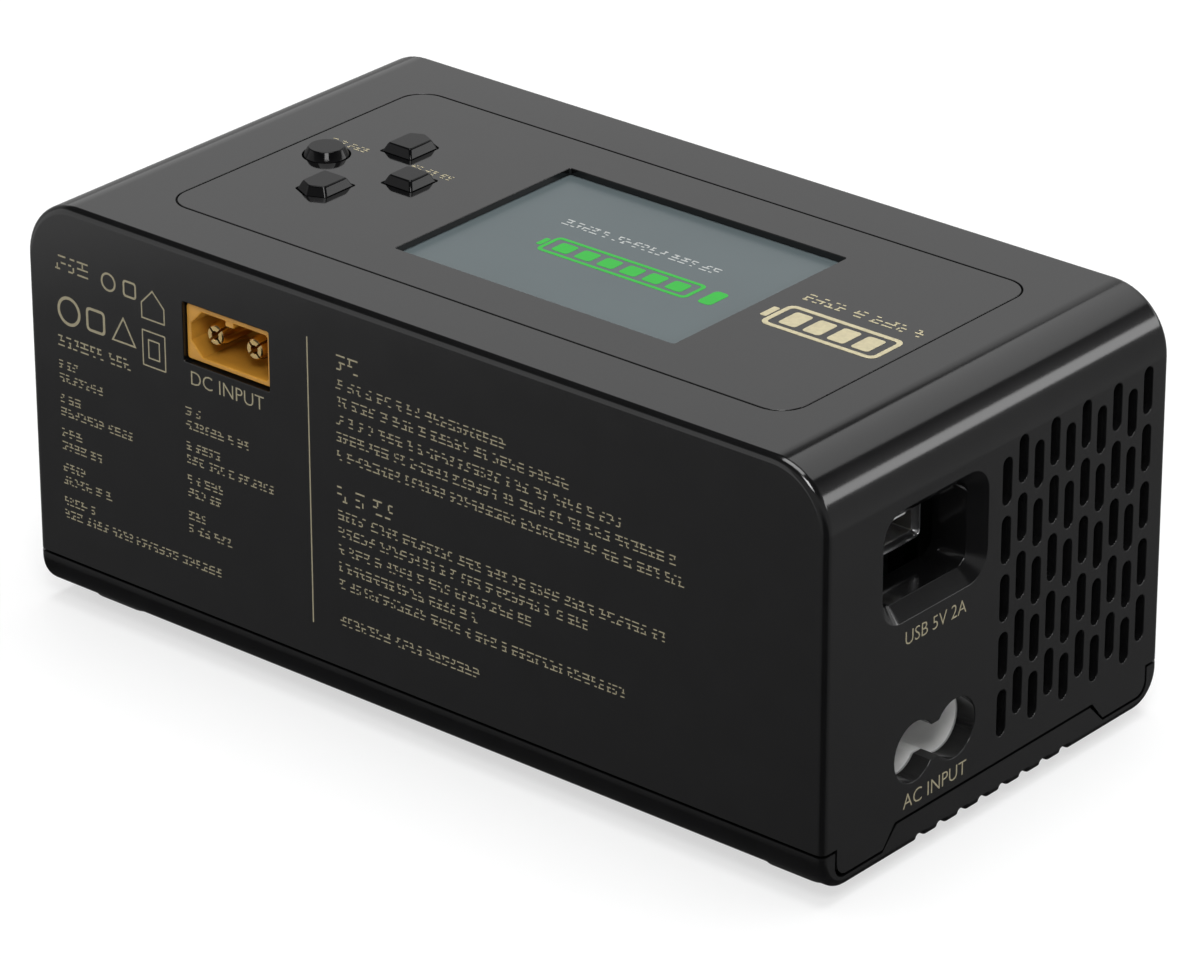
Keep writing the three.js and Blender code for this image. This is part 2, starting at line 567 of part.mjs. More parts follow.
function balanceHeader(number, x) {
  const halfLength = balance.length / 2;
  const halfHeight = balance.height / 2;
  const shroud = box(x - halfLength, x + halfLength, outFront, outBack, balance.z - halfHeight,
    balance.z + halfHeight);
  const hollow = box(x - halfLength + balance.wall, x + halfLength - balance.wall, outFront - CUT,
    outFront + balance.cavity, balance.z - halfHeight + balance.wall, balance.z + halfHeight - balance.wall);
  const keyways = [-1, 1].map((end) => {
    const keyX = x + end * balance.keywayX;
    return box(keyX - balance.keyway / 2, keyX + balance.keyway / 2, outFront - CUT, outFront + balance.keywayDepth,
      balance.z + balance.keywayLow, balance.z + balance.height);
  });
  const rearSlot = box(x - halfLength + balance.slotEnd, x + halfLength - balance.slotEnd,
    outBack - balance.slotDepth, outBack + CUT, balance.z - balance.slotHeight / 2,
    balance.z + balance.slotHeight / 2);
  const row = (width, front, back) => {
    const bars = [];
    for (let pin = 0; pin < balance.pins; pin += 1) {
      const px = x + (pin - (balance.pins - 1) / 2) * balance.pitch;
      bars.push(box(px - width / 2, px + width / 2, front, back, balance.z - width / 2, balance.z + width / 2));
    }
    return bars;
  };
  piece(`balance_header_${number}`, cut(shroud, hollow, rearSlot, ...keyways,
    ...row(balance.pinHole, outFront, outBack)), ivory);
  const stripBack = outBack - OVERLAP;
  const stripEnd = halfLength - balance.slotEnd - GAP;
  const strip = box(x - stripEnd, x + stripEnd, stripBack - balance.stripDepth, stripBack,
    balance.z - balance.stripHeight / 2, balance.z + balance.stripHeight / 2);
  const pins = row(balance.pin, outFront + balance.pinRecess, outBack - CUT);
  piece(`balance_pins_${number}`, union(strip, ...pins), gold);
}

for (const [number, side] of [[1, -1], [2, 1]]) {
  powerOutput(number, side * outputs.x);
  balanceHeader(number, side * outputs.x);
}
piece('output_board', box(-outputBoard.length / 2, outputBoard.length / 2, outputBoard.y,
  outputBoard.y + board.thickness, outputBoard.z0, outputBoard.z1), laminate);

// ---------------------------------------------------------------- cooling fan

const fanBack = fan.front + fan.depth;

function fanFrame() {
  const frame = solid(plateX(roundedRect(fan.size, fan.size, fan.frameRadius), fan.front, fanBack, 2)
    .translate(0, fan.y, fan.z));
  const bore = barX(fan.y, fan.z, fan.bore / 2, fan.front - CUT, fanBack + CUT, 28);
  const reach = fan.bore / 2 + OVERLAP;
  const spokes = [0, 1, 2].map((turn) => {
    const spoke = new THREE.BoxGeometry(fan.plate, reach, fan.spokeWidth);
    spoke.translate(fanBack - fan.plate / 2, reach / 2, 0);
    return solid(spoke.rotateX(turn * Math.PI * 2 / 3).translate(0, fan.y, fan.z));
  });
  const motorPlate = barX(fan.y, fan.z, fan.hub / 2, fanBack - fan.plate, fanBack, 20);
  const bearing = barX(fan.y, fan.z, fan.bearing / 2, fanBack - CUT - fan.bearingLength, fanBack - CUT, 14);
  const shaftHole = barX(fan.y, fan.z, fan.shaftHole / 2, fanBack - 2 * CUT - fan.bearingLength,
    fanBack - fan.plate / 2, 12);
  const holes = [[-1, -1], [-1, 1], [1, -1], [1, 1]].map(([sy, sz]) => barX(fan.y + sy * fan.screwSpacing / 2,
    fan.z + sz * fan.screwSpacing / 2, fan.screwHole / 2, fan.front - CUT, fanBack + CUT, 8));
  return cut(union(cut(frame, bore), ...spokes, motorPlate, bearing), shaftHole, ...holes);
}

function fanRotor() {
  const front = fan.front + fan.rotorInset;
  const back = fanBack - fan.rotorShort;
  const hub = barX(fan.y, fan.z, fan.hub / 2, front, back, 24);
  const cup = barX(fan.y, fan.z, fan.hub / 2 - fan.hubWall, front + fan.hubWall, back + CUT, 20);
  const shaftHole = barX(fan.y, fan.z, fan.shaftHole / 2, front - CUT, front + fan.hubWall + CUT, 12);
  const core = barX(fan.y, fan.z, fan.hub / 2 - CUT, front - CUT, back + CUT, 16);
  const root = fan.hub / 2 - OVERLAP;
  const span = fan.bore / 2 - fan.tipGap - root;
  const blades = [];
  for (let blade = 0; blade < fan.blades; blade += 1) {
    const vane = new THREE.BoxGeometry(fan.chord, span, fan.bladeThickness, 1, 2, 1);
    const corners = vane.attributes.position;
    for (let i = 0; i < corners.count; i += 1) {
      const outward = corners.getY(i) / span + 0.5;
      const pitch = THREE.MathUtils.degToRad(fan.rootPitch + fan.twist * outward);
      const along = corners.getX(i);
      const across = corners.getZ(i);
      corners.setX(i, along * Math.cos(pitch) - across * Math.sin(pitch));
      corners.setZ(i, along * Math.sin(pitch) + across * Math.cos(pitch));
    }
    vane.translate((front + back) / 2, root + span / 2, 0).rotateX(blade * Math.PI * 2 / fan.blades);
    blades.push(solid(vane.translate(0, fan.y, fan.z)).subtract(core));
  }
  return cut(union(hub, ...blades), cup, shaftHole);
}

piece('fan_frame', fanFrame(), innerBlack);
piece('fan_rotor', fanRotor(), innerBlack);
piece('fan_shaft', barX(fan.y, fan.z, fan.shaft / 2, fan.front + fan.rotorInset + HAIR, fanBack - CUT, 12), steel);

// ---------------------------------------------------------------- power electronics

const boardTop = board.mainZ + board.thickness + GAP;

// Comb section in the Y-Z plane: a base plate with upright fins, the outer two flush with its ends.
function heatsinkBody() {
  const side = (heatsink.pitch * (heatsink.fins - 1) + heatsink.thickness) / 2;
  const points = [[-side, 0], [side, 0]];
  for (let fin = heatsink.fins - 1; fin >= 0; fin -= 1) {
    const centre = (fin - (heatsink.fins - 1) / 2) * heatsink.pitch;
    const right = centre + heatsink.thickness / 2;
    const left = centre - heatsink.thickness / 2;
    points.push([right, heatsink.base], [right, heatsink.height], [left, heatsink.height], [left, heatsink.base]);
  }
  return plateX(polygon(points.slice(0, 2).concat(points.slice(3, -1))), heatsink.x0, heatsink.x1)
    .translate(0, heatsink.y, boardTop);
}

const coilLow = boardTop + transformer.limb + GAP;
const coilHigh = boardTop + transformer.height - transformer.limb - GAP;

function transformerCore() {
  const core = centredBox(transformer.x, transformer.y, transformer.length, transformer.width, boardTop,
    boardTop + transformer.height);
  const windows = [-1, 1].map((side) => centredBox(transformer.x + side * transformer.windowX, transformer.y,
    transformer.windowLength, transformer.width + 2 * CUT, coilLow - GAP, coilHigh + GAP));
  return cut(core, ...windows);
}

function transformerCoil() {
  const coil = centredBox(transformer.x, transformer.y, transformer.coilLength, transformer.coilWidth, coilLow,
    coilHigh);
  return cut(coil, centredBox(transformer.x, transformer.y, transformer.boreLength, transformer.boreWidth,
    coilLow - CUT, coilHigh + CUT));
}

piece('main_board', box(mainBoard.x0, mainBoard.x1, -mainBoard.width / 2, mainBoard.width / 2, board.mainZ,
  board.mainZ + board.thickness), laminate);
piece('heatsink', heatsinkBody(), aluminium);
piece('transformer_core', transformerCore(), ferrite);
piece('transformer_coil', transformerCoil(), copperTape);
piece('mains_capacitor', barZ(capacitor.mainsX, capacitor.y, capacitor.mainsRadius, boardTop,
  boardTop + capacitor.mainsHeight, 20), capacitorSleeve);
capacitor.outputX.forEach((x, index) => {
  piece(`output_capacitor_${index + 1}`, barZ(x, capacitor.y, capacitor.outputRadius, boardTop,
    boardTop + capacitor.outputHeight, 16), capacitorSleeve);
});
piece('output_choke', new THREE.TorusGeometry(choke.radius, choke.wire, 8, 18)
  .translate(choke.x, choke.y, boardTop + choke.wire), copperTape);

export default charger;
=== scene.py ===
"""Looks of the balance battery charger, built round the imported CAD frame.

Shapes are drawn in millimetres in the row frame (+Z up, -Y the user's side, -X the mains end) and turned into
metres when a mesh is made. Places come from the CAD nodes' boxes; radii and edge breaks are named below.
"""

import math
import random

import bmesh
import bpy
from mathutils import Matrix, Quaternion, Vector


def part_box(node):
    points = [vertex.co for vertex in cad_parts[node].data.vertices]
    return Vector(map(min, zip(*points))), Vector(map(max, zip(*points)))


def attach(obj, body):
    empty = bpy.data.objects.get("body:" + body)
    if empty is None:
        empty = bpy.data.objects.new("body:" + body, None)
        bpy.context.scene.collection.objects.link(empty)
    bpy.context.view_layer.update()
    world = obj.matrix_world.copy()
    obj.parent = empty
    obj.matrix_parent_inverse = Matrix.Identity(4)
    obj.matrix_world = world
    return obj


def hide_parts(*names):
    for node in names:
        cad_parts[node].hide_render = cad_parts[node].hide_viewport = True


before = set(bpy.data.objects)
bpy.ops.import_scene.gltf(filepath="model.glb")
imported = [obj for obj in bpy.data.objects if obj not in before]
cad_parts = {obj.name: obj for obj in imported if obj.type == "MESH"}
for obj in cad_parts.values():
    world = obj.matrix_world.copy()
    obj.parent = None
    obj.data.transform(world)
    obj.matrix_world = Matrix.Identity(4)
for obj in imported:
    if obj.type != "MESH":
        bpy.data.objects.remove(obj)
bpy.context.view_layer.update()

MM = 0.001


def span(node):
    """Lowest and highest corner of a CAD node, in millimetres."""
    low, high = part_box(node)
    return low / MM, high / MM


def middle(node):
    low, high = span(node)
    return (low + high) / 2


END, SIDE, TOP = span("top_cover")[1]
PANEL_LOW, PANEL_HIGH = span("top_panel")
GLASS_LOW, GLASS_HIGH = span("display_glass")
FLOOR_LEVEL = 0.0

# Cover: thicknesses, the arch's corner, the round along the faces' edges, and the ports' edges and cutters.
WALL = 2.0
ROOF = 2.4
ARCH_RADIUS = 9.0
FACE_FILLET = 1.1
PORT_MOUTH = 0.12
PORT_REACH = 4

# Tray: the round of its long edges, the heights of its base and floor, and its play in the cover.
TRAY_RADIUS = 5.0
TRAY_BASE = 2.0
TRAY_FLOOR = 3.9
TRAY_PLAY = 0.3

# Parting line: heights along the sides, at the ends and over the raised middle, and where it steps.
SEAM_SIDE = 8.1
SEAM_END = 4.0
SEAM_RAISED = 7.0
SEAM_CORNER_Y = 33.5
SEAM_CORNER_RADIUS = 2
SEAM_STEP_FOOT_Y = 24
SEAM_STEP_HEAD_Y = 21.5
SEAM_GAP = 0.42

PANEL_GROOVE = 0.25
PANEL_RADIUS = 4.0
SCREEN_RIM = 0.8

# Figure-eight opening of the mains inlet.
LOBE_RADIUS = 4.3
LOBE_SPREAD = 4.25
HALF_WAIST = 2.6

# ---------------------------------------------------------------- outlines, as lists of (u, v)


def arc(cx, cy, radius, start, stop, steps):
    """Points on an arc, in degrees, both ends included."""
    points = []
    for i in range(steps + 1):
        angle = math.radians(start + (stop - start) * i / steps)
        points.append((cx + radius * math.cos(angle), cy + radius * math.sin(angle)))
    return points


def rounded(width, height, radius, steps=6):
    """A rectangle with rounded corners, centred on the origin."""
    x, y = width / 2 - radius, height / 2 - radius
    points = []
    for cx, cy, start in ((x, y, 0), (-x, y, 90), (-x, -y, 180), (x, -y, 270)):
        points += arc(cx, cy, radius, start, start + 90, steps)
    return points


def rectangle(width, height):
    u, v = width / 2, height / 2
    return [(-u, -v), (u, -v), (u, v), (-u, v)]


def triangle(radius):
    """Three points on a circle, one of them up."""
    return arc(0, 0, radius, 90, 330, 2)


def circle(radius, steps=32):
    return arc(0, 0, radius, 0, 360, steps)[:-1]


def round_corners(corners, radius, steps=4):
    """The polygon with each corner replaced by a curve that starts and ends `radius` away from it."""
    points = []
    for i, corner in enumerate(corners):
        here = Vector(corner)
        before = (Vector(corners[i - 1]) - here).normalized() * radius
        after = (Vector(corners[(i + 1) % len(corners)]) - here).normalized() * radius
        for step in range(steps + 1):
            t = step / steps
            spot = here + before * (1 - t) ** 2 + after * t ** 2
            points.append((spot.x, spot.y))
    return points


def shifted(points, du, dv):
    return [(u + du, v + dv) for u, v in points]


def arch(inset, roof_inset, bottom, steps=14):
    """The cover's outline seen along Y."""
    radius = ARCH_RADIUS - inset
    x = END - ARCH_RADIUS
    z = TOP - roof_inset - radius
    points = [(-END + inset, bottom), (END - inset, bottom)]
    points += arc(x, z, radius, 0, 90, steps)
    points += arc(-x, z, radius, 90, 180, steps)
    return points


def below_seam(drop, bottom, half_width):
    """Everything under the parting line, seen along X, lowered by drop."""
    corner = SEAM_CORNER_Y + drop
    radius = SEAM_CORNER_RADIUS
    half = [(half_width, bottom), (half_width, SEAM_SIDE - drop), (corner, SEAM_SIDE - drop)]
    half += arc(corner - radius, SEAM_END + radius - drop, radius, 0, -90, 8)
    half += [(SEAM_STEP_FOOT_Y, SEAM_END - drop), (SEAM_STEP_HEAD_Y - drop, SEAM_RAISED - drop)]
    return half + [(-u, v) for u, v in reversed(half)]


def house(length, width, point, toward=1):
    """A block with one pointed end, at +v or, with toward at -1, at -v."""
    half = length / 2
    corners = [(-width / 2, -half), (width / 2, -half), (width / 2, half - point), (0, half),
               (-width / 2, half - point)]
    return corners if toward > 0 else [(-u, -v) for u, v in corners]


def figure_eight(lobe, steps=24):
    """Two round lobes side by side that meet at a waist."""
    angle = math.degrees(math.asin(HALF_WAIST / lobe))
    right = arc(LOBE_SPREAD, 0, lobe, -180 + angle, 180 - angle, steps)
    left = arc(-LOBE_SPREAD, 0, lobe, angle, 360 - angle, steps)
    return right + left


# ---------------------------------------------------------------- placing outlines in space


def on_end(side):
    """u is Y, v is Z, depth runs inward from the end face at -X or +X."""
    return lambda u, v, d: (side * (END - d), u, v)


def on_long_side(side):
    """u is X, v is Z, depth runs inward from the long face at -Y or +Y."""
    return lambda u, v, d: (u, side * (SIDE - d), v)


def on_top(u, v, d):
    return (u, v, TOP - d)


def level(u, v, z):
    return (u, v, z)


def moved(place, du, dv):
    """The same placing with its origin moved to (du, dv)."""
    return lambda u, v, d: place(u + du, v + dv, d)


# ---------------------------------------------------------------- meshes


def mesh_object(name, vertices, faces):
    """A new object from corners in millimetres, its faces turned outward."""
    data = bpy.data.meshes.new(name)
    data.from_pydata([Vector(v) * MM for v in vertices], [], faces)
    work = bmesh.new()
    work.from_mesh(data)
    bmesh.ops.recalc_face_normals(work, faces=work.faces)
    work.to_mesh(data)
    work.free()
    piece = bpy.data.objects.new(name, data)
    bpy.context.scene.collection.objects.link(piece)
    return piece


def loft(name, rings):
    """A closed skin through rings that all have the same number of points, capped at both ends."""
    count = len(rings[0])
    vertices = [point for ring in rings for point in ring]
    faces = [list(range(count)), [len(vertices) - 1 - i for i in range(count)]]
    for r in range(len(rings) - 1):
        for i in range(count):
            j = (i + 1) % count
            faces.append([r * count + i, r * count + j, (r + 1) * count + j, (r + 1) * count + i])
    return mesh_object(name, vertices, faces)


def slab(name, outline, profile, place):
    """outline(grow) drawn at each (grow, depth) of the profile."""
    rings = [[place(u, v, depth) for u, v in outline(grow)] for grow, depth in profile]
    return loft(name, rings)


def lathe(name, profile, place, steps=32):
    """Solid of revolution through (radius, depth) pairs, closed by a flat cap at both ends."""
    rings = [[place(u, v, depth) for u, v in circle(radius, steps)] for radius, depth in profile]
    return loft(name, rings)


def edge_break(radius, steps=4):
    """(grow, depth) pairs of a rounded mouth: wide at the surface, straight below it."""
    pairs = []
    for i in range(steps + 1):
        angle = math.pi / 2 * i / steps
        pairs.append((radius * (1 - math.sin(angle)), radius * (1 - math.cos(angle))))
    return pairs


def round_over(radius, depth=0.0, steps=4):
    """(grow, depth) pairs of a rounded outer edge, from the flat face down to the side wall."""
    pairs = []
    for i in range(steps + 1):
        angle = math.pi / 2 * i / steps
        pairs.append((radius * (math.sin(angle) - 1), depth + radius * (1 - math.cos(angle))))
    return pairs


def hole(outline, place, reach, mouth):
    """A cutter through a face, with a rounded mouth at depth 0."""
    pairs = [(mouth, -1.0)] + edge_break(mouth) + [(0.0, reach)]
    return slab("cutter", outline, pairs, place)


def join(pieces):
    """Merges the meshes into the first piece and removes the others."""
    work = bmesh.new()
    for piece in pieces:
        work.from_mesh(piece.data)
    whole = pieces[0]
    work.to_mesh(whole.data)
    work.free()
    for piece in pieces[1:]:
        bpy.data.objects.remove(piece)
    return whole


def apply_modifiers(piece):
    graph = bpy.context.evaluated_depsgraph_get()
    graph.update()
    made = bpy.data.meshes.new_from_object(piece.evaluated_get(graph))
    piece.modifiers.clear()
    piece.data = made
    return piece


def boolean(piece, operation, tools):
    """Cuts, joins or intersects with one tool or a list of them, which are used up."""
    if not isinstance(tools, list):
        tools = [tools]
    tool = join(tools)
    modifier = piece.modifiers.new("boolean", "BOOLEAN")
    modifier.operation = operation
    modifier.solver = "EXACT"
    modifier.object = tool
    apply_modifiers(piece)
    bpy.data.objects.remove(tool)
    return piece


def box(name, x0, x1, y0, y1, z0, z1, bevel=0.0):
    """A block; with a bevel, every edge is rounded."""
    piece = loft(name, [[(x0, y0, z), (x1, y0, z), (x1, y1, z), (x0, y1, z)] for z in (z0, z1)])
    if bevel:
        round_edges(piece, bevel)
        apply_modifiers(piece)
    return piece


def round_edges(piece, width, segments=2, angle=40):
    modifier = piece.modifiers.new("edges", "BEVEL")
    modifier.width = width * MM
    modifier.segments = segments
    modifier.limit_method = "ANGLE"
    modifier.angle_limit = math.radians(angle)
    return piece


def finish_surface(piece, material, body="housing", smooth=32, stands_for=()):
    """Smooth shading with kept corners, material, body and the CAD nodes that the piece stands for."""
    data = piece.data
    for polygon in data.polygons:
        polygon.use_smooth = True
    data.set_sharp_from_angle(angle=math.radians(smooth))
    data.materials.clear()
    data.materials.append(material)
    normals = piece.modifiers.new("normals", "WEIGHTED_NORMAL")
    normals.keep_sharp = True
    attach(piece, body)
    if stands_for:
        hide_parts(*stands_for)
    return piece


# ---------------------------------------------------------------- materials


def shader(name, color, roughness, metallic=0.0, grain=(0.2, 0.01), mottle=(6.0, 0.12), rough_range=0.06,
           specular=0.5, coat=0.0, coat_roughness=0.05, emission=None, emission_strength=0.0, streak=None):
    """Principled surface with a fine bump, a slow colour mottle and a little variation in roughness.

    grain is (size, depth) in millimetres, mottle is (size in millimetres, share of the colour), and streak
    stretches the grain along one axis for drawn or brushed metal."""
    material = bpy.data.materials.new(name)
    material.use_nodes = True
    nodes, links = material.node_tree.nodes, material.node_tree.links
    surface = nodes["Principled BSDF"]
    surface.inputs["Metallic"].default_value = metallic
    surface.inputs["Specular IOR Level"].default_value = specular
    surface.inputs["Coat Weight"].default_value = coat
    surface.inputs["Coat Roughness"].default_value = coat_roughness
    if emission:
        surface.inputs["Emission Color"].default_value = (*emission, 1)
        surface.inputs["Emission Strength"].default_value = emission_strength
    place = nodes.new("ShaderNodeTexCoord")

    slow = nodes.new("ShaderNodeTexNoise")
    slow.inputs["Scale"].default_value = 1 / (mottle[0] * MM)
    slow.inputs["Detail"].default_value = 4
    links.new(place.outputs["Object"], slow.inputs["Vector"])
    tint = nodes.new("ShaderNodeValToRGB")
    tint.color_ramp.elements[0].position = 0.3
    tint.color_ramp.elements[1].position = 0.7
    tint.color_ramp.elements[0].color = (*[c * (1 - mottle[1]) for c in color], 1)
    tint.color_ramp.elements[1].color = (*[min(1, c * (1 + mottle[1])) for c in color], 1)
    links.new(slow.outputs["Fac"], tint.inputs["Fac"])
    links.new(tint.outputs["Color"], surface.inputs["Base Color"])

    fine = nodes.new("ShaderNodeTexNoise")
    fine.inputs["Scale"].default_value = 1 / (grain[0] * MM)
    fine.inputs["Detail"].default_value = 3
    if streak:
        stretch = nodes.new("ShaderNodeMapping")
        stretch.inputs["Scale"].default_value = streak
        links.new(place.outputs["Object"], stretch.inputs["Vector"])
        links.new(stretch.outputs["Vector"], fine.inputs["Vector"])
    else:
        links.new(place.outputs["Object"], fine.inputs["Vector"])
    spread = nodes.new("ShaderNodeMapRange")
    spread.inputs["To Min"].default_value = max(0.02, roughness - rough_range)
    spread.inputs["To Max"].default_value = min(1, roughness + rough_range)
    links.new(slow.outputs["Fac"], spread.inputs["Value"])
    links.new(spread.outputs["Result"], surface.inputs["Roughness"])
    bump = nodes.new("ShaderNodeBump")
    bump.inputs["Strength"].default_value = 1.0
    bump.inputs["Distance"].default_value = grain[1] * MM
    links.new(fine.outputs["Fac"], bump.inputs["Height"])
    links.new(bump.outputs["Normal"], surface.inputs["Normal"])
    return material


HOUSING = shader("housing_plastic", (0.0045, 0.0045, 0.0047), 0.12, grain=(0.25, 0.0006), rough_range=0.02)
PANEL = shader("panel_plastic", (0.0045, 0.0045, 0.0047), 0.08, grain=(0.3, 0.0003), rough_range=0.02)
KEYS = shader("key_plastic", (0.003, 0.003, 0.0033), 0.09, grain=(0.4, 0.0003), rough_range=0.02,
              specular=0.16)
RUBBER = shader("foot_rubber", (0.012, 0.012, 0.012), 0.75, grain=(0.15, 0.02), specular=0.3)
SCREWS = shader("black_zinc", (0.06, 0.06, 0.065), 0.35, 1.0, grain=(0.2, 0.004))
SCREEN = shader("display_glass", (0.088, 0.110, 0.116), 0.25, grain=(0.6, 0.0002), mottle=(20, 0.03),
                rough_range=0.01, specular=0.2)
BACKLIT = shader("display_can", (0.45, 0.45, 0.46), 0.35, 1.0, grain=(0.2, 0.004))
BOARD = shader("solder_mask", (0.008, 0.07, 0.03), 0.35, grain=(0.5, 0.01), mottle=(1.5, 0.5))
NYLON = shader("black_nylon", (0.014, 0.014, 0.014), 0.42, grain=(0.15, 0.006))
PALE = shader("pale_nylon", (0.80, 0.80, 0.79), 0.38, grain=(0.2, 0.006), mottle=(3, 0.04))
AMBER = shader("amber_nylon", (0.50, 0.24, 0.03), 0.32, grain=(0.25, 0.006), mottle=(2.5, 0.12))
GOLD = shader("gold_plate", (0.86, 0.62, 0.27), 0.20, 1.0, grain=(0.1, 0.002), mottle=(1.2, 0.08))
STEEL = shader("nickel_plate", (0.62, 0.62, 0.63), 0.24, 1.0, grain=(0.08, 0.002), streak=(1, 8, 8))
ALUMINIUM = shader("extruded_aluminium", (0.60, 0.61, 0.63), 0.38, 1.0, grain=(0.1, 0.006),
                   streak=(0.05, 1, 1))
FERRITE = shader("ferrite", (0.04, 0.04, 0.045), 0.6, grain=(0.2, 0.02))
WINDING = shader("winding", (0.50, 0.30, 0.05), 0.4, grain=(0.35, 0.05), streak=(1, 1, 4))
SLEEVE = shader("capacitor_sleeve", (0.02, 0.04, 0.13), 0.3, grain=(0.6, 0.01))
PRINT = shader("gold_print", (0.48, 0.43, 0.28), 0.5, grain=(0.08, 0.004), mottle=(0.6, 0.10), specular=0.3)
SIDE_PRINT = shader("side_print", (0.28, 0.25, 0.165), 0.5, grain=(0.08, 0.004), mottle=(0.6, 0.10),
                    specular=0.3)
LIT_GREEN = shader("lit_green", (0.015, 0.26, 0.022), 0.3, grain=(0.2, 0.0005), mottle=(4, 0.06),
                   emission=(0.03, 0.60, 0.07), emission_strength=0.25, specular=0.2)
LIT_WHITE = shader("lit_white", (0.34, 0.36, 0.35), 0.3, grain=(0.2, 0.0005), mottle=(4, 0.05),
                   emission=(0.5, 0.5, 0.5), emission_strength=0.25)

# ---------------------------------------------------------------- keys, shared by cover, panel and caps

# How far a cap widens at the panel, the gap round it, the round of its top edge, and the flange inside.
KEY_FLARE = 0.6
KEY_CLEARANCE = 0.22
KEY_EDGE = 0.22
KEY_FLANGE = 0.75
KEY_FLANGE_THICKNESS = 0.6
ENTER_RADIUS = 2.6
BACK_SIZE = 4.1
POINTED_LENGTH, POINTED_WIDTH = 5.6, 4.2
KEY_PLACES = {name: middle(name + "_key") for name in ("up", "down", "enter", "back")}


def key_outline(name, grow):
    """A key's top, seen from above: round for enter, square for back, pointed for up and down."""
    if name == "enter":
        return circle(ENTER_RADIUS + grow, 48)
    if name == "back":
        return rounded(BACK_SIZE + 2 * grow, BACK_SIZE + 2 * grow, 0.4, 4)
    toward = 1 if name == "up" else -1
    corners = house(POINTED_LENGTH + 2 * grow, POINTED_WIDTH + 2 * grow, 1 + 0.3 * grow, toward)
    return round_corners(corners, 0.35)


def key_hole(name, reach):
    centre = KEY_PLACES[name]
    grow = KEY_FLARE + KEY_CLEARANCE
    return hole(lambda g: shifted(key_outline(name, grow + g), centre.x, centre.y), on_top, reach, 0.08)


# ---------------------------------------------------------------- housing

VENT_COLUMNS, VENT_ROWS = 10, 5
VENT_WIDTH, VENT_LENGTH = 1.95, 6.8
VENT_PITCH_Y, VENT_PITCH_Z, VENT_STAGGER = 3.42, 8.4, 2.05
VENT_FIRST_Y, VENT_LOWEST_Z = -1.0, 13.85


def vent_cutters(side):
    """Upright slots in columns, every second column a little higher."""
    cutters = []
    for column in range(VENT_COLUMNS):
        for row in range(VENT_ROWS):
            y = VENT_FIRST_Y - column * VENT_PITCH_Y
            z = VENT_LOWEST_Z + row * VENT_PITCH_Z + (column % 2) * VENT_STAGGER

            def slot(grow, y=y, z=z):
                radius = VENT_WIDTH / 2 + grow
                return shifted(rounded(2 * radius, VENT_LENGTH + 2 * grow, radius - 0.001, 6), y, z)

            cutters.append(hole(slot, on_end(side), WALL + 1, PORT_MOUTH))
    return cutters


# Centres of the openings on the mains end, and the (depth, half width, half height) of the walls round them.
USB = Vector((0, 13.9, 43.5))
USB_WIDTH, USB_HEIGHT, USB_CORNER = 18, 12, 2
USB_FLARE = 2.0
USB_TUNNEL = (7.6, 10.5, 7.5)
INLET = Vector((0, 13.25, 15.7))
INLET_BOSS = (2.9, 10.25, 5.3)

DC = middle("dc_input_housing")
DC_OPENING_LENGTH, DC_OPENING_HEIGHT = 15.8, 8.8
FRONT_OPENINGS = {"output_1_housing": 0.3, "output_2_housing": 0.3, "balance_header_1": 0.25,
                  "balance_header_2": 0.25}


def usb_throat(grow):
    return shifted(rounded(USB_WIDTH + 2 * grow, USB_HEIGHT + 2 * grow, USB_CORNER + grow, 8), USB.y, USB.z)


def inlet_opening(grow):
    return shifted(figure_eight(LOBE_RADIUS + grow), INLET.y, INLET.z)


def dc_opening(grow):
    return shifted(rounded(DC_OPENING_LENGTH + 2 * grow, DC_OPENING_HEIGHT + 2 * grow, 0.25 + grow, 3),
                   DC.x, DC.z)


def seam_cutter(drop):
    outline = below_seam(drop, -1, SIDE + 2)
    return loft("seam", [[(x, y, z) for y, z in outline] for x in (-END - 2, END + 2)])


def wall_block(name, centre, depth, half_width, half_height):
    """Material behind the mains end's wall, which it overlaps by half a millimetre."""
    return box(name, -END + WALL - 0.5, -END + depth, centre.y - half_width, centre.y + half_width,
               centre.z - half_height, centre.z + half_height)


def panel_outline(grow):
    width = PANEL_HIGH.x - PANEL_LOW.x + 2 * grow
    height = PANEL_HIGH.y - PANEL_LOW.y + 2 * grow
    centre = middle("top_panel")
    return shifted(rounded(width, height, PANEL_RADIUS + grow, 10), centre.x, centre.y)


def glass_outline(grow, radius, steps):
    width = GLASS_HIGH.x - GLASS_LOW.x + 2 * grow
    height = GLASS_HIGH.y - GLASS_LOW.y + 2 * grow
    centre = middle("display_glass")
    return shifted(rounded(width, height, radius, steps), centre.x, centre.y)


def make_shell():
    """The arched shell, hollow and open below, down to the parting line."""
    edge = round_over(FACE_FILLET, 0, 6)
    rings = [[(x, -SIDE + d, z) for x, z in arch(-g, -g, 0)] for g, d in edge]
    rings += [[(x, SIDE - d, z) for x, z in arch(-g, -g, 0)] for g, d in reversed(edge)]
    cover = loft("charger_cover", rings)
    inside = [[(x, y, z) for x, z in arch(WALL, ROOF, -1)] for y in (-SIDE + WALL, SIDE - WALL)]
    boolean(cover, "DIFFERENCE", loft("hollow", inside))
    boolean(cover, "UNION", [wall_block("tunnel", USB, *USB_TUNNEL), wall_block("boss", INLET, *INLET_BOSS)])
    boolean(cover, "DIFFERENCE", seam_cutter(0))
    return cover


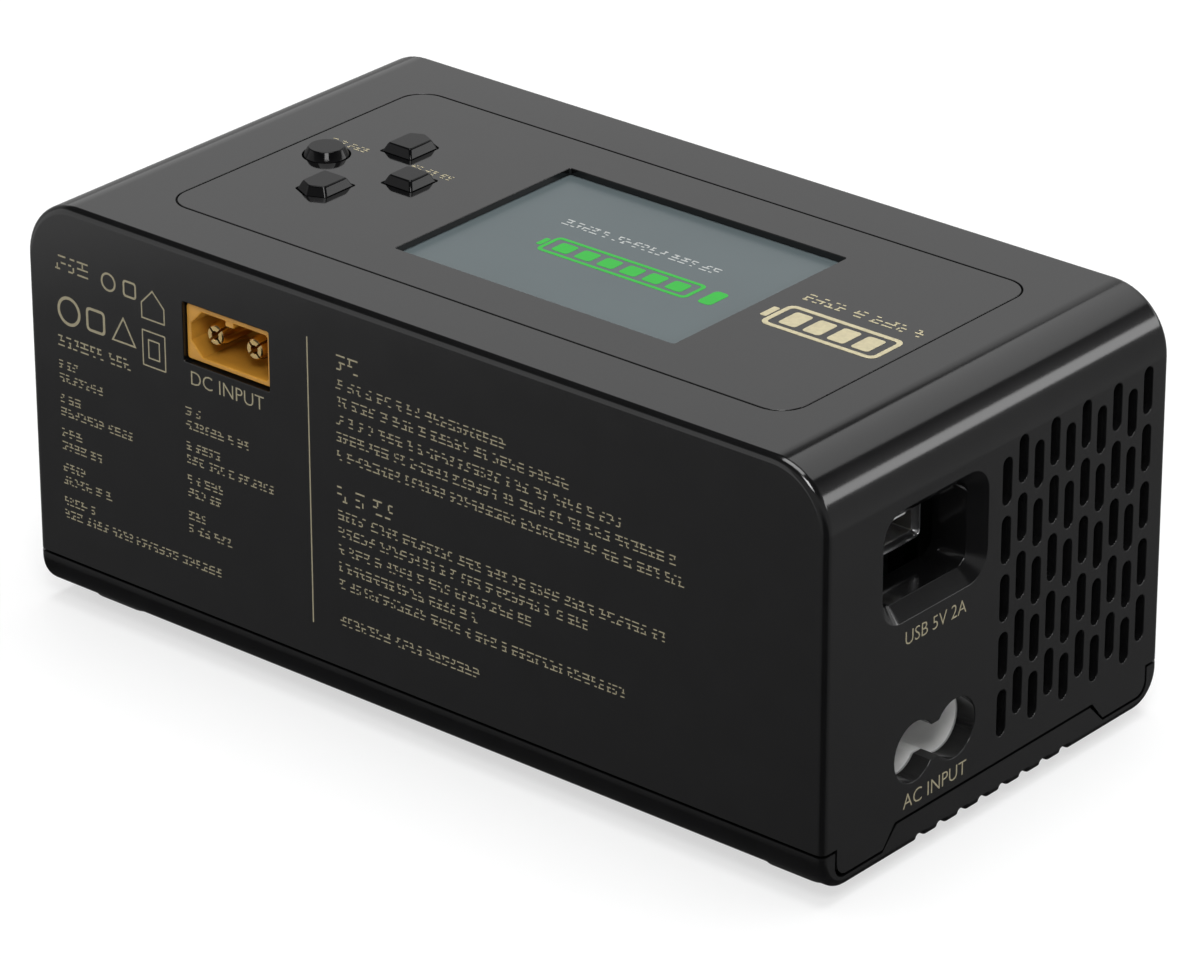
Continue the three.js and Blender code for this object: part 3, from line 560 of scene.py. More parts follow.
def cut_end_openings(cover):
    lip = USB_FLARE + PORT_MOUTH
    flare = [(lip, -1), (lip, 0), (USB_FLARE, 0.06), (0.08, USB_FLARE - 0.04), (0, USB_FLARE + 0.1), (0, 9)]
    usb_mouth = slab("mouth", usb_throat, flare, on_end(-1))
    inlet_hole = hole(inlet_opening, on_end(-1), PORT_REACH, PORT_MOUTH)
    boolean(cover, "DIFFERENCE", vent_cutters(-1) + [usb_mouth, inlet_hole])
    boolean(cover, "DIFFERENCE", vent_cutters(1))


def cut_top_openings(cover):
    boolean(cover, "DIFFERENCE", hole(lambda g: panel_outline(PANEL_GROOVE + g), on_top, 1.0, 0.07))
    play = 0.3
    window = box("window", GLASS_LOW.x - play, GLASS_HIGH.x + play, GLASS_LOW.y - play, GLASS_HIGH.y + play,
                 TOP - 7, TOP + 3)
    boolean(cover, "DIFFERENCE", [window] + [key_hole(name, 4) for name in KEY_PLACES])


def cut_side_openings(cover):
    boolean(cover, "DIFFERENCE", hole(dc_opening, on_long_side(1), PORT_REACH, PORT_MOUTH))
    front = []
    for node, margin in FRONT_OPENINGS.items():
        low, high = span(node)

        def opening(grow, low=low, high=high, margin=margin):
            return shifted(rounded(high.x - low.x + 2 * (margin + grow), high.z - low.z + 2 * (margin + grow),
                                   0.3 + grow, 3), (low.x + high.x) / 2, (low.z + high.z) / 2)

        front.append(hole(opening, on_long_side(-1), PORT_REACH, PORT_MOUTH))
    boolean(cover, "DIFFERENCE", front)


def make_cover():
    cover = make_shell()
    cut_end_openings(cover)
    cut_top_openings(cover)
    cut_side_openings(cover)
    finish_surface(cover, HOUSING, stands_for=["top_cover"])


CORNERS = ("rear_left", "rear_right", "front_left", "front_right")
FOOT_NODES = ["foot_" + corner for corner in CORNERS]
FOOT_LENGTH, FOOT_WIDTH, FOOT_CORNER = 12.6, 12.4, 3
FOOT_INSET = 0.4

# Grooves in the underside; above the spring height their roofs are rounded.
GROOVES_PER_END = 8
GROOVE_PITCH, GROOVE_WIDTH, GROOVE_LENGTH = 4.47, 2.5, 31
GROOVE_SPRING = 0.45
GROOVE_ROUND = 0.7

SCREW_NODES = ["housing_screw_" + corner for corner in CORNERS]
SCREW_HEAD, SCREW_SHANK = 2.6, 1.25
RECESS_RADIUS, RECESS_TOP = 2.9, 3.85


def foot_outline(grow, node):
    centre = middle(node)
    return shifted(rounded(FOOT_LENGTH + 2 * grow, FOOT_WIDTH + 2 * grow, FOOT_CORNER + grow, 6),
                   centre.x, centre.y)


def make_trough():
    """The tray's body below the parting line: flat base, rounded long edges, a pocket inside."""
    flat = SIDE - TRAY_RADIUS
    high = 20

    def trough(grow):
        radius = TRAY_RADIUS + grow
        right = arc(flat, TRAY_BASE + TRAY_RADIUS, radius, -90, 0, 10) + [(SIDE + grow, high)]
        left = [(-SIDE - grow, high)] + arc(-flat, TRAY_BASE + TRAY_RADIUS, radius, 180, 270, 10)
        return right + left

    edge = round_over(FACE_FILLET, 0, 6)
    rings = [[(-END + d, y, z) for y, z in trough(g)] for g, d in edge]
    rings += [[(END - d, y, z) for y, z in trough(g)] for g, d in reversed(edge)]
    tray = loft("charger_tray", rings)
    boolean(tray, "INTERSECT", seam_cutter(SEAM_GAP))
    x, y = END - WALL - TRAY_PLAY, SIDE - WALL
    boolean(tray, "DIFFERENCE", box("pocket", -x, x, -y, y, TRAY_FLOOR, high + 10))
    return tray


def groove_cutters():
    """Open-ended grooves that run in from both ends along the underside."""
    def groove(grow, y):
        half = GROOVE_WIDTH / 2 + grow
        centre = half - GROOVE_ROUND
        roof = arc(centre, GROOVE_SPRING, GROOVE_ROUND + grow, 0, 90, 4)
        roof += arc(-centre, GROOVE_SPRING, GROOVE_ROUND + grow, 90, 180, 4)
        return shifted([(-half - 0.15, -1), (half + 0.15, -1)] + roof, y, TRAY_BASE)

    profile = [(0.12, -1), (0.12, 0), (0, 0.12), (0, GROOVE_LENGTH), (-0.4, GROOVE_LENGTH + 1)]
    cutters = []
    for side in (-1, 1):
        for number in range(GROOVES_PER_END):
            y = (number - (GROOVES_PER_END - 1) / 2) * GROOVE_PITCH
            cutters.append(slab("groove", lambda g, y=y: groove(g, y), profile, on_end(side)))
    return cutters


def make_tray():
    tray = make_trough()
    rise = [(-0.15, 1.0), (0, 1.08), (0.75, 1.85), (1.0, 1.99), (1.0, 2.6)]
    bosses = [slab("boss", lambda g, n=node: foot_outline(g, n), rise, level) for node in FOOT_NODES]
    boolean(tray, "UNION", bosses)
    boolean(tray, "DIFFERENCE", groove_cutters())
    mouth = 0.15
    profile = [(RECESS_RADIUS + mouth, 1), (RECESS_RADIUS + mouth, TRAY_BASE),
               (RECESS_RADIUS, TRAY_BASE + mouth), (RECESS_RADIUS, RECESS_TOP), (1.5, RECESS_TOP + 0.02)]
    recesses = [lathe("recess", profile, moved(level, *middle(node).xy)) for node in SCREW_NODES]
    boolean(tray, "DIFFERENCE", recesses)
    finish_surface(tray, HOUSING, stands_for=["bottom_tray"])


def make_feet():
    """Rubber pads, a little smaller than the raised pads of the tray that they sit on."""
    for node in FOOT_NODES:
        pad = slab("pad_" + node, lambda g, n=node: foot_outline(g - FOOT_INSET, n),
                   [(-0.5, 0.0), (-0.15, 0.05), (0, 0.22), (0, 0.95)], level)
        finish_surface(pad, RUBBER, stands_for=[node])


def make_screws():
    """Pan-headed screws, head down, with a tapered cross recess."""
    for node in SCREW_NODES:
        centre = middle(node)
        low, high = span(node)
        profile = [(1.9, low.z), (2.35, low.z + 0.12), (SCREW_HEAD, low.z + 0.5), (SCREW_HEAD, low.z + 1.6),
                   (SCREW_SHANK, low.z + 1.65), (SCREW_SHANK, high.z)]
        place = moved(level, centre.x, centre.y)
        head = lathe("fastener_" + node, profile, place)
        for wide, deep in ((2.9, 0.62), (0.62, 2.9)):
            arm = loft("cross", [[place(u, v, low.z + depth) for u, v in rectangle(wide * k, deep * k)]
                                 for depth, k in ((-0.3, 1.05), (1.1, 0.7))])
            boolean(head, "DIFFERENCE", arm)
        finish_surface(head, SCREWS, stands_for=[node])


# ---------------------------------------------------------------- top panel, display, keys


def make_panel():
    panel = slab("control_panel", panel_outline, round_over(0.1) + [(0, PANEL_HIGH.z - PANEL_LOW.z)], on_top)
    window = hole(lambda g: glass_outline(g - SCREEN_RIM, 0.35 + g, 4), on_top, 2, 0.1)
    boolean(panel, "DIFFERENCE", [window] + [key_hole(name, 2) for name in KEY_PLACES])
    finish_surface(panel, PANEL, stands_for=["top_panel"])


def make_glass():
    face = TOP - GLASS_HIGH.z
    profile = round_over(0.15, face) + [(0, TOP - GLASS_LOW.z)]
    glass = slab("display_cover_glass", lambda g: glass_outline(g, 0.8, 5), profile, on_top)
    finish_surface(glass, SCREEN, stands_for=["display_glass"])


def make_keys():
    """Caps whose sides slope out to a skirt at the panel, with a flange inside that keeps them in."""
    for name, centre in KEY_PLACES.items():
        low, high = span(name + "_key")
        top = TOP - high.z
        flange = TOP - low.z - KEY_FLANGE_THICKNESS
        profile = round_over(KEY_EDGE, top, 5)[:-1]
        profile += [(0.06, top + KEY_EDGE + 0.02), (KEY_FLARE - 0.06, -0.05), (KEY_FLARE, 0.05),
                    (KEY_FLARE, flange), (KEY_FLARE + KEY_FLANGE, flange + 0.05),
                    (KEY_FLARE + KEY_FLANGE, TOP - low.z)]

        def outline(grow, name=name, centre=centre):
            return shifted(key_outline(name, grow), centre.x, centre.y)

        cap = slab(name + "_key_cap", outline, profile, on_top)
        finish_surface(cap, KEYS, body=name + "_button", stands_for=[name + "_key"])


# ---------------------------------------------------------------- connectors

POWER_LENGTH, POWER_HEIGHT, POWER_CUT = 15.5, 8.1, 2.1
POWER_WALL = 0.7
PIN_TYPES = ("positive", "negative")

HEADER_LENGTH, HEADER_HEIGHT, HEADER_WALL = 19.8, 5.8, 0.8
HEADER_DEPTH = 7
HEADER_PITCH = 2.5
HEADER_WAYS = range(-3, 4)

USB_SHELL_WIDTH, USB_SHELL_HEIGHT = 13.1, 5.7
USB_BLADE_PITCH = 2.3


def connector_outline(grow, cut, radius=0.35):
    """Power connector section: cut corners at +u, nearly square ones at -u."""
    x, z = POWER_LENGTH / 2 + grow, POWER_HEIGHT / 2 + grow
    return [(-x + radius, -z), (x - cut, -z), (x, -z + cut), (x, z - cut), (x - cut, z), (-x + radius, z),
            (-x, z - radius), (-x, -z + radius)]


def make_dc_input():
    """Amber housing, open outward, with a keying rib along the top wall of its cavity."""
    low, high = span("dc_input_housing")
    face = SIDE - high.y
    place = on_long_side(1)

    def shell(grow):
        return shifted(rounded(high.x - low.x + 2 * grow, high.z - low.z + 2 * grow, 0.4, 4), DC.x, DC.z)

    def cavity(grow):
        return shifted(connector_outline(grow - POWER_WALL, POWER_CUT), DC.x, DC.z)

    body = slab("dc_input_body", shell, round_over(0.15, face) + [(0, SIDE - low.y)], place)
    cutter = slab("cavity", cavity, [(0.12, face - 1), (0.12, face), (0, face + 0.12), (0, face + 9)], place)
    boolean(body, "DIFFERENCE", cutter)
    rib = box("rib", DC.x - 0.7, DC.x + 0.7, high.y - 9, high.y - 0.2, high.z - POWER_WALL - 0.8,
              high.z - 0.3)
    boolean(body, "UNION", rib)
    pins = ["dc_input_pin_" + kind for kind in PIN_TYPES]
    bores = [lathe("bore", [(1.9, 8), (1.9, 20)], moved(place, *middle(pin).xz)) for pin in pins]
    boolean(body, "DIFFERENCE", bores)
    finish_surface(body, AMBER, stands_for=["dc_input_housing"])
    for pin in pins:
        make_split_pin(pin, place)


def make_split_pin(node, place):
    """Gold pin with a hollow tip split by two crossing saw cuts, and a fine groove round its root."""
    low, high = span(node)
    centre = middle(node)
    tip = SIDE - high.y
    radius = (high.z - low.z) / 2
    spot = moved(place, centre.x, centre.z)
    profile = [(0.62, tip + 5), (0.6, tip + 0.1), (0.66, tip), (1.28, tip), (1.46, tip + 0.16),
               (radius, tip + 1.0), (radius, tip + 7), (radius - 0.1, tip + 7.2), (radius, tip + 7.4),
               (radius, SIDE - low.y)]
    pin = lathe("pin_" + node, profile, spot, 36)
    for turn in (45, 135):
        c, s = math.cos(math.radians(turn)), math.sin(math.radians(turn))
        slit = [(u * c - v * s, u * s + v * c) for u, v in rectangle(6, 0.34)]
        saw = loft("saw", [[spot(u, v, d) for u, v in slit] for d in (tip - 1, tip + 4.5)])
        boolean(pin, "DIFFERENCE", saw)
    finish_surface(pin, GOLD, stands_for=[node])


def make_output(number):
    """Charging output: amber housing with two round bores, a slot between them and a gold socket in each."""
    place = on_long_side(-1)
    node = f"output_{number}_housing"
    low, high = span(node)
    centre = middle(node)
    face = low.y + SIDE
    back = high.y + SIDE

    def shell(grow):
        return shifted(connector_outline(grow, POWER_CUT + 0.4 * grow), centre.x, centre.z)

    body = slab(f"output_{number}_body", shell, round_over(0.2, face) + [(0, back)], place)
    contacts = [f"output_{number}_contact_{kind}" for kind in PIN_TYPES]
    bores = [lathe("bore", [(2.7, face - 1), (2.7, face), (2.5, face + 0.2), (2.5, back + 1)],
                   moved(place, *middle(contact).xz)) for contact in contacts]
    boolean(body, "DIFFERENCE", bores)
    slot = slab("slot", lambda g: shifted(rounded(1.2, 3.6, 0.3, 3), centre.x, centre.z),
                [(0, face - 0.5), (0, face + 0.5)], place)
    boolean(body, "DIFFERENCE", slot)
    finish_surface(body, AMBER, stands_for=[node])
    profile = [(0.02, face + 9.5), (1.75, face + 9), (1.75, face + 1.1), (1.95, face + 0.65),
               (2.15, face + 0.6), (2.25, face + 0.75), (2.25, back)]
    for contact in contacts:
        tube = lathe("socket_" + contact, profile, moved(place, *middle(contact).xz))
        finish_surface(tube, GOLD, stands_for=[contact])


def make_balance_header(number):
    """Pale seven-way header: shroud with two latch slots at the top, and square pins on a strip."""
    place = on_long_side(-1)
    node = f"balance_header_{number}"
    low, high = span(node)
    centre = middle(node)
    face = low.y + SIDE
    back = high.y + SIDE

    def block(name, x, half_x, y0, y1, z0, z1):
        return box(name, centre.x + x - half_x, centre.x + x + half_x, y0, y1, z0, z1)

    def section(grow, radius, steps):
        return shifted(rounded(HEADER_LENGTH + 2 * grow, HEADER_HEIGHT + 2 * grow, radius, steps),
                       centre.x, centre.z)

    body = slab(f"balance_socket_{number}", lambda g: section(g, 0.3, 3),
                round_over(0.12, face) + [(0, back)], place)
    mouth = [(0.1, face - 1), (0.1, face), (0, face + 0.1), (0, face + HEADER_DEPTH)]
    boolean(body, "DIFFERENCE", slab("cavity", lambda g: section(g - HEADER_WALL, 0.15, 2), mouth, place))
    latches = [block("latch", side * 6, 0.9, low.y - 1, low.y + 5, centre.z + 1, high.z + 1)
               for side in (-1, 1)]
    boolean(body, "DIFFERENCE", latches)
    rear = block("rear", 0, 8.9, high.y - 4, high.y + 1, centre.z - 1.2, centre.z + 1.2)
    boolean(body, "DIFFERENCE", rear)
    holes = [block("pin_hole", way * HEADER_PITCH, 0.5, low.y + 6.5, high.y - 3.5, centre.z - 0.5,
                   centre.z + 0.5) for way in HEADER_WAYS]
    boolean(body, "DIFFERENCE", holes)
    finish_surface(body, PALE, stands_for=[node])

    pins = []
    tip = face + 1.5
    for way in HEADER_WAYS:
        spot = moved(place, centre.x + way * HEADER_PITCH, centre.z)
        pins.append(slab("pin", lambda g: rectangle(2 * g, 2 * g),
                         [(0.12, tip), (0.32, tip + 0.5), (0.32, back - 1.5)], spot))
    strip = block(f"balance_contacts_{number}", 0, 8.5, high.y - 2.5, high.y - 0.5, centre.z - 0.8,
                  centre.z + 0.8)
    boolean(strip, "UNION", pins)
    finish_surface(strip, GOLD, stands_for=[f"balance_pins_{number}"])


def make_mains_inlet():
    """Pale insulator with a figure-eight socket and two steel pins in it."""
    low, high = span("mains_inlet")
    place = on_end(-1)
    front = low.x + END
    body = box("mains_inlet_body", low.x, high.x, low.y, high.y, low.z, high.z, 0.3)
    socket = slab("socket", inlet_opening, [(0.0, front - 1), (0.0, front + 11.8), (-0.2, front + 12)], place)
    boolean(body, "DIFFERENCE", socket)
    pins = ("mains_pin_line", "mains_pin_neutral")
    bores = [lathe("bore", [(1.45, front + 10), (1.45, front + 18)], moved(place, *middle(node).yz))
             for node in pins]
    boolean(body, "DIFFERENCE", bores)
    finish_surface(body, PALE, stands_for=["mains_inlet"])
    for node in pins:
        pin_low, pin_high = span(node)
        tip = pin_low.x + END
        profile = [(0.35, tip), (0.8, tip + 0.12), (1.1, tip + 0.45), (1.2, tip + 0.9),
                   (1.2, pin_high.x + END)]
        pin = lathe("contact_" + node, profile, moved(place, *middle(node).yz))
        finish_surface(pin, STEEL, stands_for=[node])


def make_usb():
    """Steel shell with a flared mouth, a pale tongue on a base and four gold blades under the tongue."""
    low, high = span("usb_shell")
    place = on_end(-1)
    centre = middle("usb_shell")
    front, back = low.x + END, high.x + END

    def skin(grow):
        return shifted(rounded(USB_SHELL_WIDTH + 2 * grow, USB_SHELL_HEIGHT + 2 * grow, 0.7 + grow, 5),
                       centre.y, centre.z)

    outside = [(0.45, front + 0.1), (0.5, front), (0.1, front + 0.55), (0, front + 0.9), (0, back)]
    inside = [(0.3, front - 0.5), (0.3, front - 0.01), (-0.3, front + 0.6), (-0.4, front + 1),
              (-0.4, back + 1)]
    shell = slab("usb_socket_shell", skin, outside, place)
    boolean(shell, "DIFFERENCE", slab("bore", skin, inside, place))
    finish_surface(shell, STEEL, stands_for=["usb_shell"])

    def block(name, x0, x1, y, half_y, z0, z1, bevel=0.0):
        return box(name, x0, x1, centre.y + y - half_y, centre.y + y + half_y, centre.z + z0,
                   centre.z + z1, bevel)

    start = span("usb_tongue")[0].x
    tongue = block("usb_socket_tongue", start, back - 3.4, 0, 5.3, 0.1, 1.9, 0.2)
    boolean(tongue, "UNION", block("base", back - 3.5, back, 0, 6.0, -2.3, 2.3))
    finish_surface(tongue, PALE, stands_for=["usb_tongue"])
    blades = join([block("blade", start + 0.4, back - 3.6, k * USB_BLADE_PITCH, 0.5, -0.02, 0.08)
                   for k in (-1.5, -0.5, 0.5, 1.5)])
    blades.name = "usb_socket_blades"
    finish_surface(blades, GOLD)


# ---------------------------------------------------------------- printed and lit marks

PRINT_HEIGHT = 0.03
LEGEND_HEIGHT = 2.1
# A capital letter's height as a share of the font size.
CAPITAL_SHARE = 0.70


def ribbon_mesh(name, shapes, place, depth=-PRINT_HEIGHT, root=0.01):
    """Thin raised prints laid on a face: each shape is an outline, or a pair of outlines for a ring."""
    vertices, faces = [], []
    for shape in shapes:
        outlines = shape if isinstance(shape, tuple) else (shape,)
        rings = []
        for outline in outlines:
            count = len(outline)
            for level_depth in (depth, root):
                rings.append(range(len(vertices), len(vertices) + count))
                vertices += [place(u, v, level_depth) for u, v in outline]
        pairs = [(rings[0], rings[1])]
        if len(outlines) == 2:
            pairs += [(rings[2], rings[3]), (rings[0], rings[2]), (rings[1], rings[3])]
        else:
            faces += [list(rings[0]), list(rings[1])]
        for first, second in pairs:
            for i in range(count):
                j = (i + 1) % count
                faces.append([first[i], first[j], second[j], second[i]])
    return mesh_object(name, vertices, faces)


def word_bars(start, stop, v, height, seed, stroke=0.15):
    """A line of meaningless marks: cells of three flat ticks and an upright one, with gaps between."""
    chance = random.Random(seed)
    direction = 1 if stop > start else -1
    bars = []
    at = start
    while (stop - at) * direction > height * 0.6:
        cell = height * chance.uniform(0.55, 0.95)
        for row in (-1, 0, 1):
            length = cell * chance.choice((0.45, 0.7, 1.0))
            lead = chance.choice((0, cell - length))
            u = at + direction * (lead + length / 2)
            bars.append(shifted(rectangle(length, stroke), u, v + row * (height - stroke) / 2))
        upright = at + direction * cell * chance.choice((0.2, 0.5, 0.8))
        reach = height / 2 - 1.6 * stroke
        bars.append(shifted(rectangle(stroke, reach), upright, v + chance.choice((-1, 1)) * height / 4))
        at += direction * (cell + height * chance.choice((0.22, 0.22, 0.22, 0.22, 0.7)))
    return bars


def ring_at(outer, inner, u, v):
    """A ring-shaped mark round (u, v)."""
    return shifted(outer, u, v), shifted(inner, u, v)


def facing(right, centre):
    """Matrix whose X runs along right and Y along +Z, at centre in millimetres."""
    x, y = Vector(right), Vector((0, 0, 1))
    matrix = Matrix((x, y, x.cross(y))).transposed().to_4x4()
    matrix.translation = Vector(centre) * MM
    return matrix


def legend(name, words, height, right, centre):
    """Generic lettering as thin raised print, running along right, with its middle at centre."""
    curve = bpy.data.curves.new(name, "FONT")
    curve.body = words
    curve.size = height / CAPITAL_SHARE * MM
    curve.align_x = "CENTER"
    curve.align_y = "CENTER"
    curve.extrude = PRINT_HEIGHT / 2 * MM
    curve.offset = -0.03 * MM
    curve.resolution_u = 3
    label = bpy.data.objects.new(name, curve)
    bpy.context.scene.collection.objects.link(label)
    bpy.context.view_layer.update()
    graph = bpy.context.evaluated_depsgraph_get()
    data = bpy.data.meshes.new_from_object(label.evaluated_get(graph))
    data.transform(facing(right, centre))
    bpy.data.objects.remove(label)
    piece = bpy.data.objects.new(name, data)
    bpy.context.scene.collection.objects.link(piece)
    work = bmesh.new()
    work.from_mesh(data)
    bmesh.ops.remove_doubles(work, verts=work.verts, dist=0.002 * MM)
    work.to_mesh(data)
    work.free()
    finish_surface(piece, SIDE_PRINT)


# Rows of print on the long +Y face. All starts and ends are distances from the +X end.
ROW_HEIGHT, RATING_HEIGHT = 1.35, 1.2
# Long rows, which all start at the same place: (distance below the top edge, end).
PARAGRAPH_START = 57.3
PARAGRAPH_ROWS = [(11.8, 87.5), (14.3, 98.5), (17.0, 106.5), (19.5, 115.5), (22.2, 117.5), (31.0, 114),
                  (33.5, 101.5), (36.1, 92), (38.7, 82.5), (41.3, 107.5), (46.8, 83)]
# Short rows in two columns, each with its start and then its rows as above.
RATING_ROWS = {
    5.5: [(24.0, 9.8), (26.0, 14.5), (29.2, 9.8), (31.2, 19.5), (34.4, 9.8), (36.4, 13.0), (39.7, 9.8),
          (41.7, 15.5), (44.9, 11.5), (46.9, 35.5)],
    29.5: [(24.0, 33.8), (26.0, 42.0), (29.2, 36.0), (31.2, 46.0), (34.2, 36.0), (36.2, 36.5), (39.7, 33.8),
           (41.7, 38.5)],
}
# Headings over both: (start, end, distance below the top edge, height, random seed, stroke).
HEADINGS = [(57.5, 63.0, 8.6, 2.2, 41, 0.22), (57.2, 68.3, 27.9, 2.2, 42, 0.22)]
RATING_HEADINGS = [(5.5, 20.5, 20.4, 1.6, 61, 0.2), (5.5, 13.0, 8.6, 2.2, 62, 0.24)]
FIRST_RATING_SEED = 100
# The line between them: width, height, middle along X and distance of its middle below the top edge.
DIVIDER_WIDTH, DIVIDER_HEIGHT, DIVIDER_X, DIVIDER_BELOW = 0.2, 42.3, 17.7, 27.6


def make_back_print():
    shapes = []
    for seed, (below, stop) in enumerate(PARAGRAPH_ROWS):
        shapes += word_bars(END - PARAGRAPH_START, END - stop, TOP - below, ROW_HEIGHT, seed)
    for start, stop, below, height, seed, stroke in HEADINGS:
        shapes += word_bars(END - start, END - stop, TOP - below, height, seed, stroke)
    seed = FIRST_RATING_SEED
    for start, rows in RATING_ROWS.items():
        for below, stop in rows:
            shapes += word_bars(END - start, END - stop, TOP - below, RATING_HEIGHT, seed)
            seed += 1
    for start, stop, below, height, seed, stroke in RATING_HEADINGS:
        shapes += word_bars(END - start, END - stop, TOP - below, height, seed, stroke)
    shapes.append(shifted(rounded(DIVIDER_WIDTH, DIVIDER_HEIGHT, 0.08, 2), DIVIDER_X, TOP - DIVIDER_BELOW))
    finish_surface(ribbon_mesh("back_print", shapes, on_long_side(1)), SIDE_PRINT)


def make_back_symbols():
    """Plain outlines in two rows, with a house and two nested boxes after them."""
    first, second, last = TOP - 9.0, TOP - 15.6, END - 23.9
    symbols = [
        ring_at(circle(1.4, 24), circle(1.1, 24), END - 15.6, first),
        ring_at(rounded(2.5, 2.5, 0.5, 3), rounded(1.9, 1.9, 0.3, 3), END - 19.6, first),
        ring_at(circle(2.2, 28), circle(1.75, 28), END - 7.8, second),
        ring_at(rounded(3.6, 3.6, 0.7, 3), rounded(2.8, 2.8, 0.4, 3), END - 12.9, second),
        ring_at(triangle(2.7), triangle(2.2), END - 18.2, second - 0.5),
        ring_at(rounded(4.4, 5.4, 0.15, 2), rounded(4.0, 5.0, 0.1, 2), last, second - 1.2),
        ring_at(rounded(2.2, 2.9, 0.1, 2), rounded(1.8, 2.5, 0.1, 2), last, second - 1.2),
        ring_at(house(4.6, 4.4, 2.2), shifted(house(4.1, 4.0, 2.0), 0, -0.05), last, first - 1.2),
    ]
    finish_surface(ribbon_mesh("back_symbols", symbols, on_long_side(1)), SIDE_PRINT)


def make_legends():
    proud = 0.01
    legend("legend_dc_input", "DC INPUT", LEGEND_HEIGHT, (-1, 0, 0), (DC.x, SIDE + proud, TOP - 18.9))
    legend("legend_usb", "USB 5V 2A", 2.0, (0, -1, 0), (-END - proud, 13.7, 32.8))
    legend("legend_ac_input", "AC INPUT", LEGEND_HEIGHT, (0, -1, 0), (-END - proud, 13.1, 9.0))
    for number in (1, 2):
        x = middle(f"output_{number}_housing").x
        for words, z in ((f"OUTPUT {number}", 28.2), (f"BALANCE {number}", 42.4)):
            name = "legend_" + words.lower().replace(" ", "_")
            legend(name, words, LEGEND_HEIGHT, (1, 0, 0), (x, -SIDE - proud, z))


def battery_mark(cx, cy, length, height, stroke, cells):
    """Outline of a battery with its terminal at +u and filled cells inside."""
    outer = rounded(length, height, height * 0.18, 4)
    inner = rounded(length - 2 * stroke, height - 2 * stroke, height * 0.10, 4)
    terminal = rounded(stroke * 1.4, height * 0.45, stroke * 0.4, 3)
    shapes = [ring_at(outer, inner, cx, cy), shifted(terminal, cx + length / 2 + stroke * 1.1, cy)]
    room = length - 4 * stroke
    pitch = room / cells
    for k in range(cells):
        cell = rounded(pitch * 0.72, height - 4 * stroke, pitch * 0.12, 3)
        shapes.append(shifted(cell, cx - room / 2 + (k + 0.5) * pitch, cy))
    return shapes


def make_top_print():
    """A battery and a row of marks at the screen's mains end, and a row beside the enter and back keys."""
    mark = battery_mark(-43.5, 2.2, 19.0, 7.2, 0.75, 4)
    mark += word_bars(-53.2, -33.0, -4.6, 2.0, 7, 0.25)
    finish_surface(ribbon_mesh("panel_mark", mark, on_top), PRINT)
    labels = []
    for name in ("enter", "back"):
        x = KEY_PLACES[name].x
        labels += word_bars(x - 3.8, x + 3.8, -4.5, 1.3, int(x))
    finish_surface(ribbon_mesh("key_labels", labels, on_top), PRINT)


def make_display():
    """A lit battery with a block beside it, over one row of meaningless marks."""
    face = TOP - GLASS_HIGH.z
    green = battery_mark(-7.5, 1.9, 26.0, 5.2, 0.6, 6)
    green.append(shifted(rounded(2.3, 4.4, 0.69, 3), -23.35, 1.9))
    white = word_bars(-18.5, 8.5, -5.2, 1.7, 11, 0.22)
    for name, shapes, material in (("display_green", green, LIT_GREEN), ("display_white", white, LIT_WHITE)):
        lit = ribbon_mesh(name, shapes, on_top, face - PRINT_HEIGHT, face + 0.01)
        finish_surface(lit, material)


# ---------------------------------------------------------------- CAD nodes that stay


def dress_inner_nodes():
    """Materials and broken edges for the inner pieces that keep their CAD shapes."""
    looks = {
        BACKLIT: ["display_module"],
        BOARD: ["display_board", "input_board", "dc_input_board", "output_board", "main_board"],
        NYLON: [name + "_switch" for name in KEY_PLACES] + ["buzzer", "fan_frame", "fan_rotor"],
        PALE: [name + "_switch_plunger" for name in KEY_PLACES],
        STEEL: ["fan_shaft"],
        ALUMINIUM: ["heatsink"],
        FERRITE: ["transformer_core"],
        WINDING: ["transformer_coil", "output_choke"],
        SLEEVE: ["mains_capacitor", "output_capacitor_1", "output_capacitor_2"],
    }
    for material, names in looks.items():
        for name in names:
            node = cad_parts[name]
            node.data.materials.clear()
            node.data.materials.append(material)
            round_edges(node, 0.15, angle=50)


# ---------------------------------------------------------------- floor, light, camera


FLOOR_REACH = 4000
FLOOR_DEPTH = 20


def make_stage():
    """A pale floor, a little translucent like a light table, which the gloss does not mirror."""
    floor = box("floor", -FLOOR_REACH, FLOOR_REACH, -FLOOR_REACH, FLOOR_REACH, -FLOOR_DEPTH, FLOOR_LEVEL)
    pale = shader("pale_floor", (0.34, 0.34, 0.34), 0.6, grain=(3, 0.01), mottle=(300, 0.01),
                  emission=(1, 1, 1), emission_strength=0.62, specular=0.2)
    floor.data.materials.append(pale)
    floor.visible_glossy = False


# Sine of the elevation and grey of the surroundings, and the direction of their dark corner.
WALL_GREYS = ((-0.56, 0.03), (-0.46, 0.20), (-0.36, 0.36), (0.45, 0.36), (0.62, 0.04))
DARK_CORNER = (-0.62, 0.60, -0.50)
LIGHT_AIM = Vector((0, 0, 0.03))


def area_light(name, toward, distance, width, height, power):
    """A soft panel that faces the object from the given direction, in metres and watts."""
    data = bpy.data.lights.new(name, "AREA")
    data.shape = "RECTANGLE"
    data.size, data.size_y = width, height
    data.energy = power
    lamp = bpy.data.objects.new(name, data)
    bpy.context.scene.collection.objects.link(lamp)
    lamp.location = LIGHT_AIM + Vector(toward).normalized() * distance
    lamp.rotation_euler = (LIGHT_AIM - lamp.location).to_track_quat("-Z", "Y").to_euler()


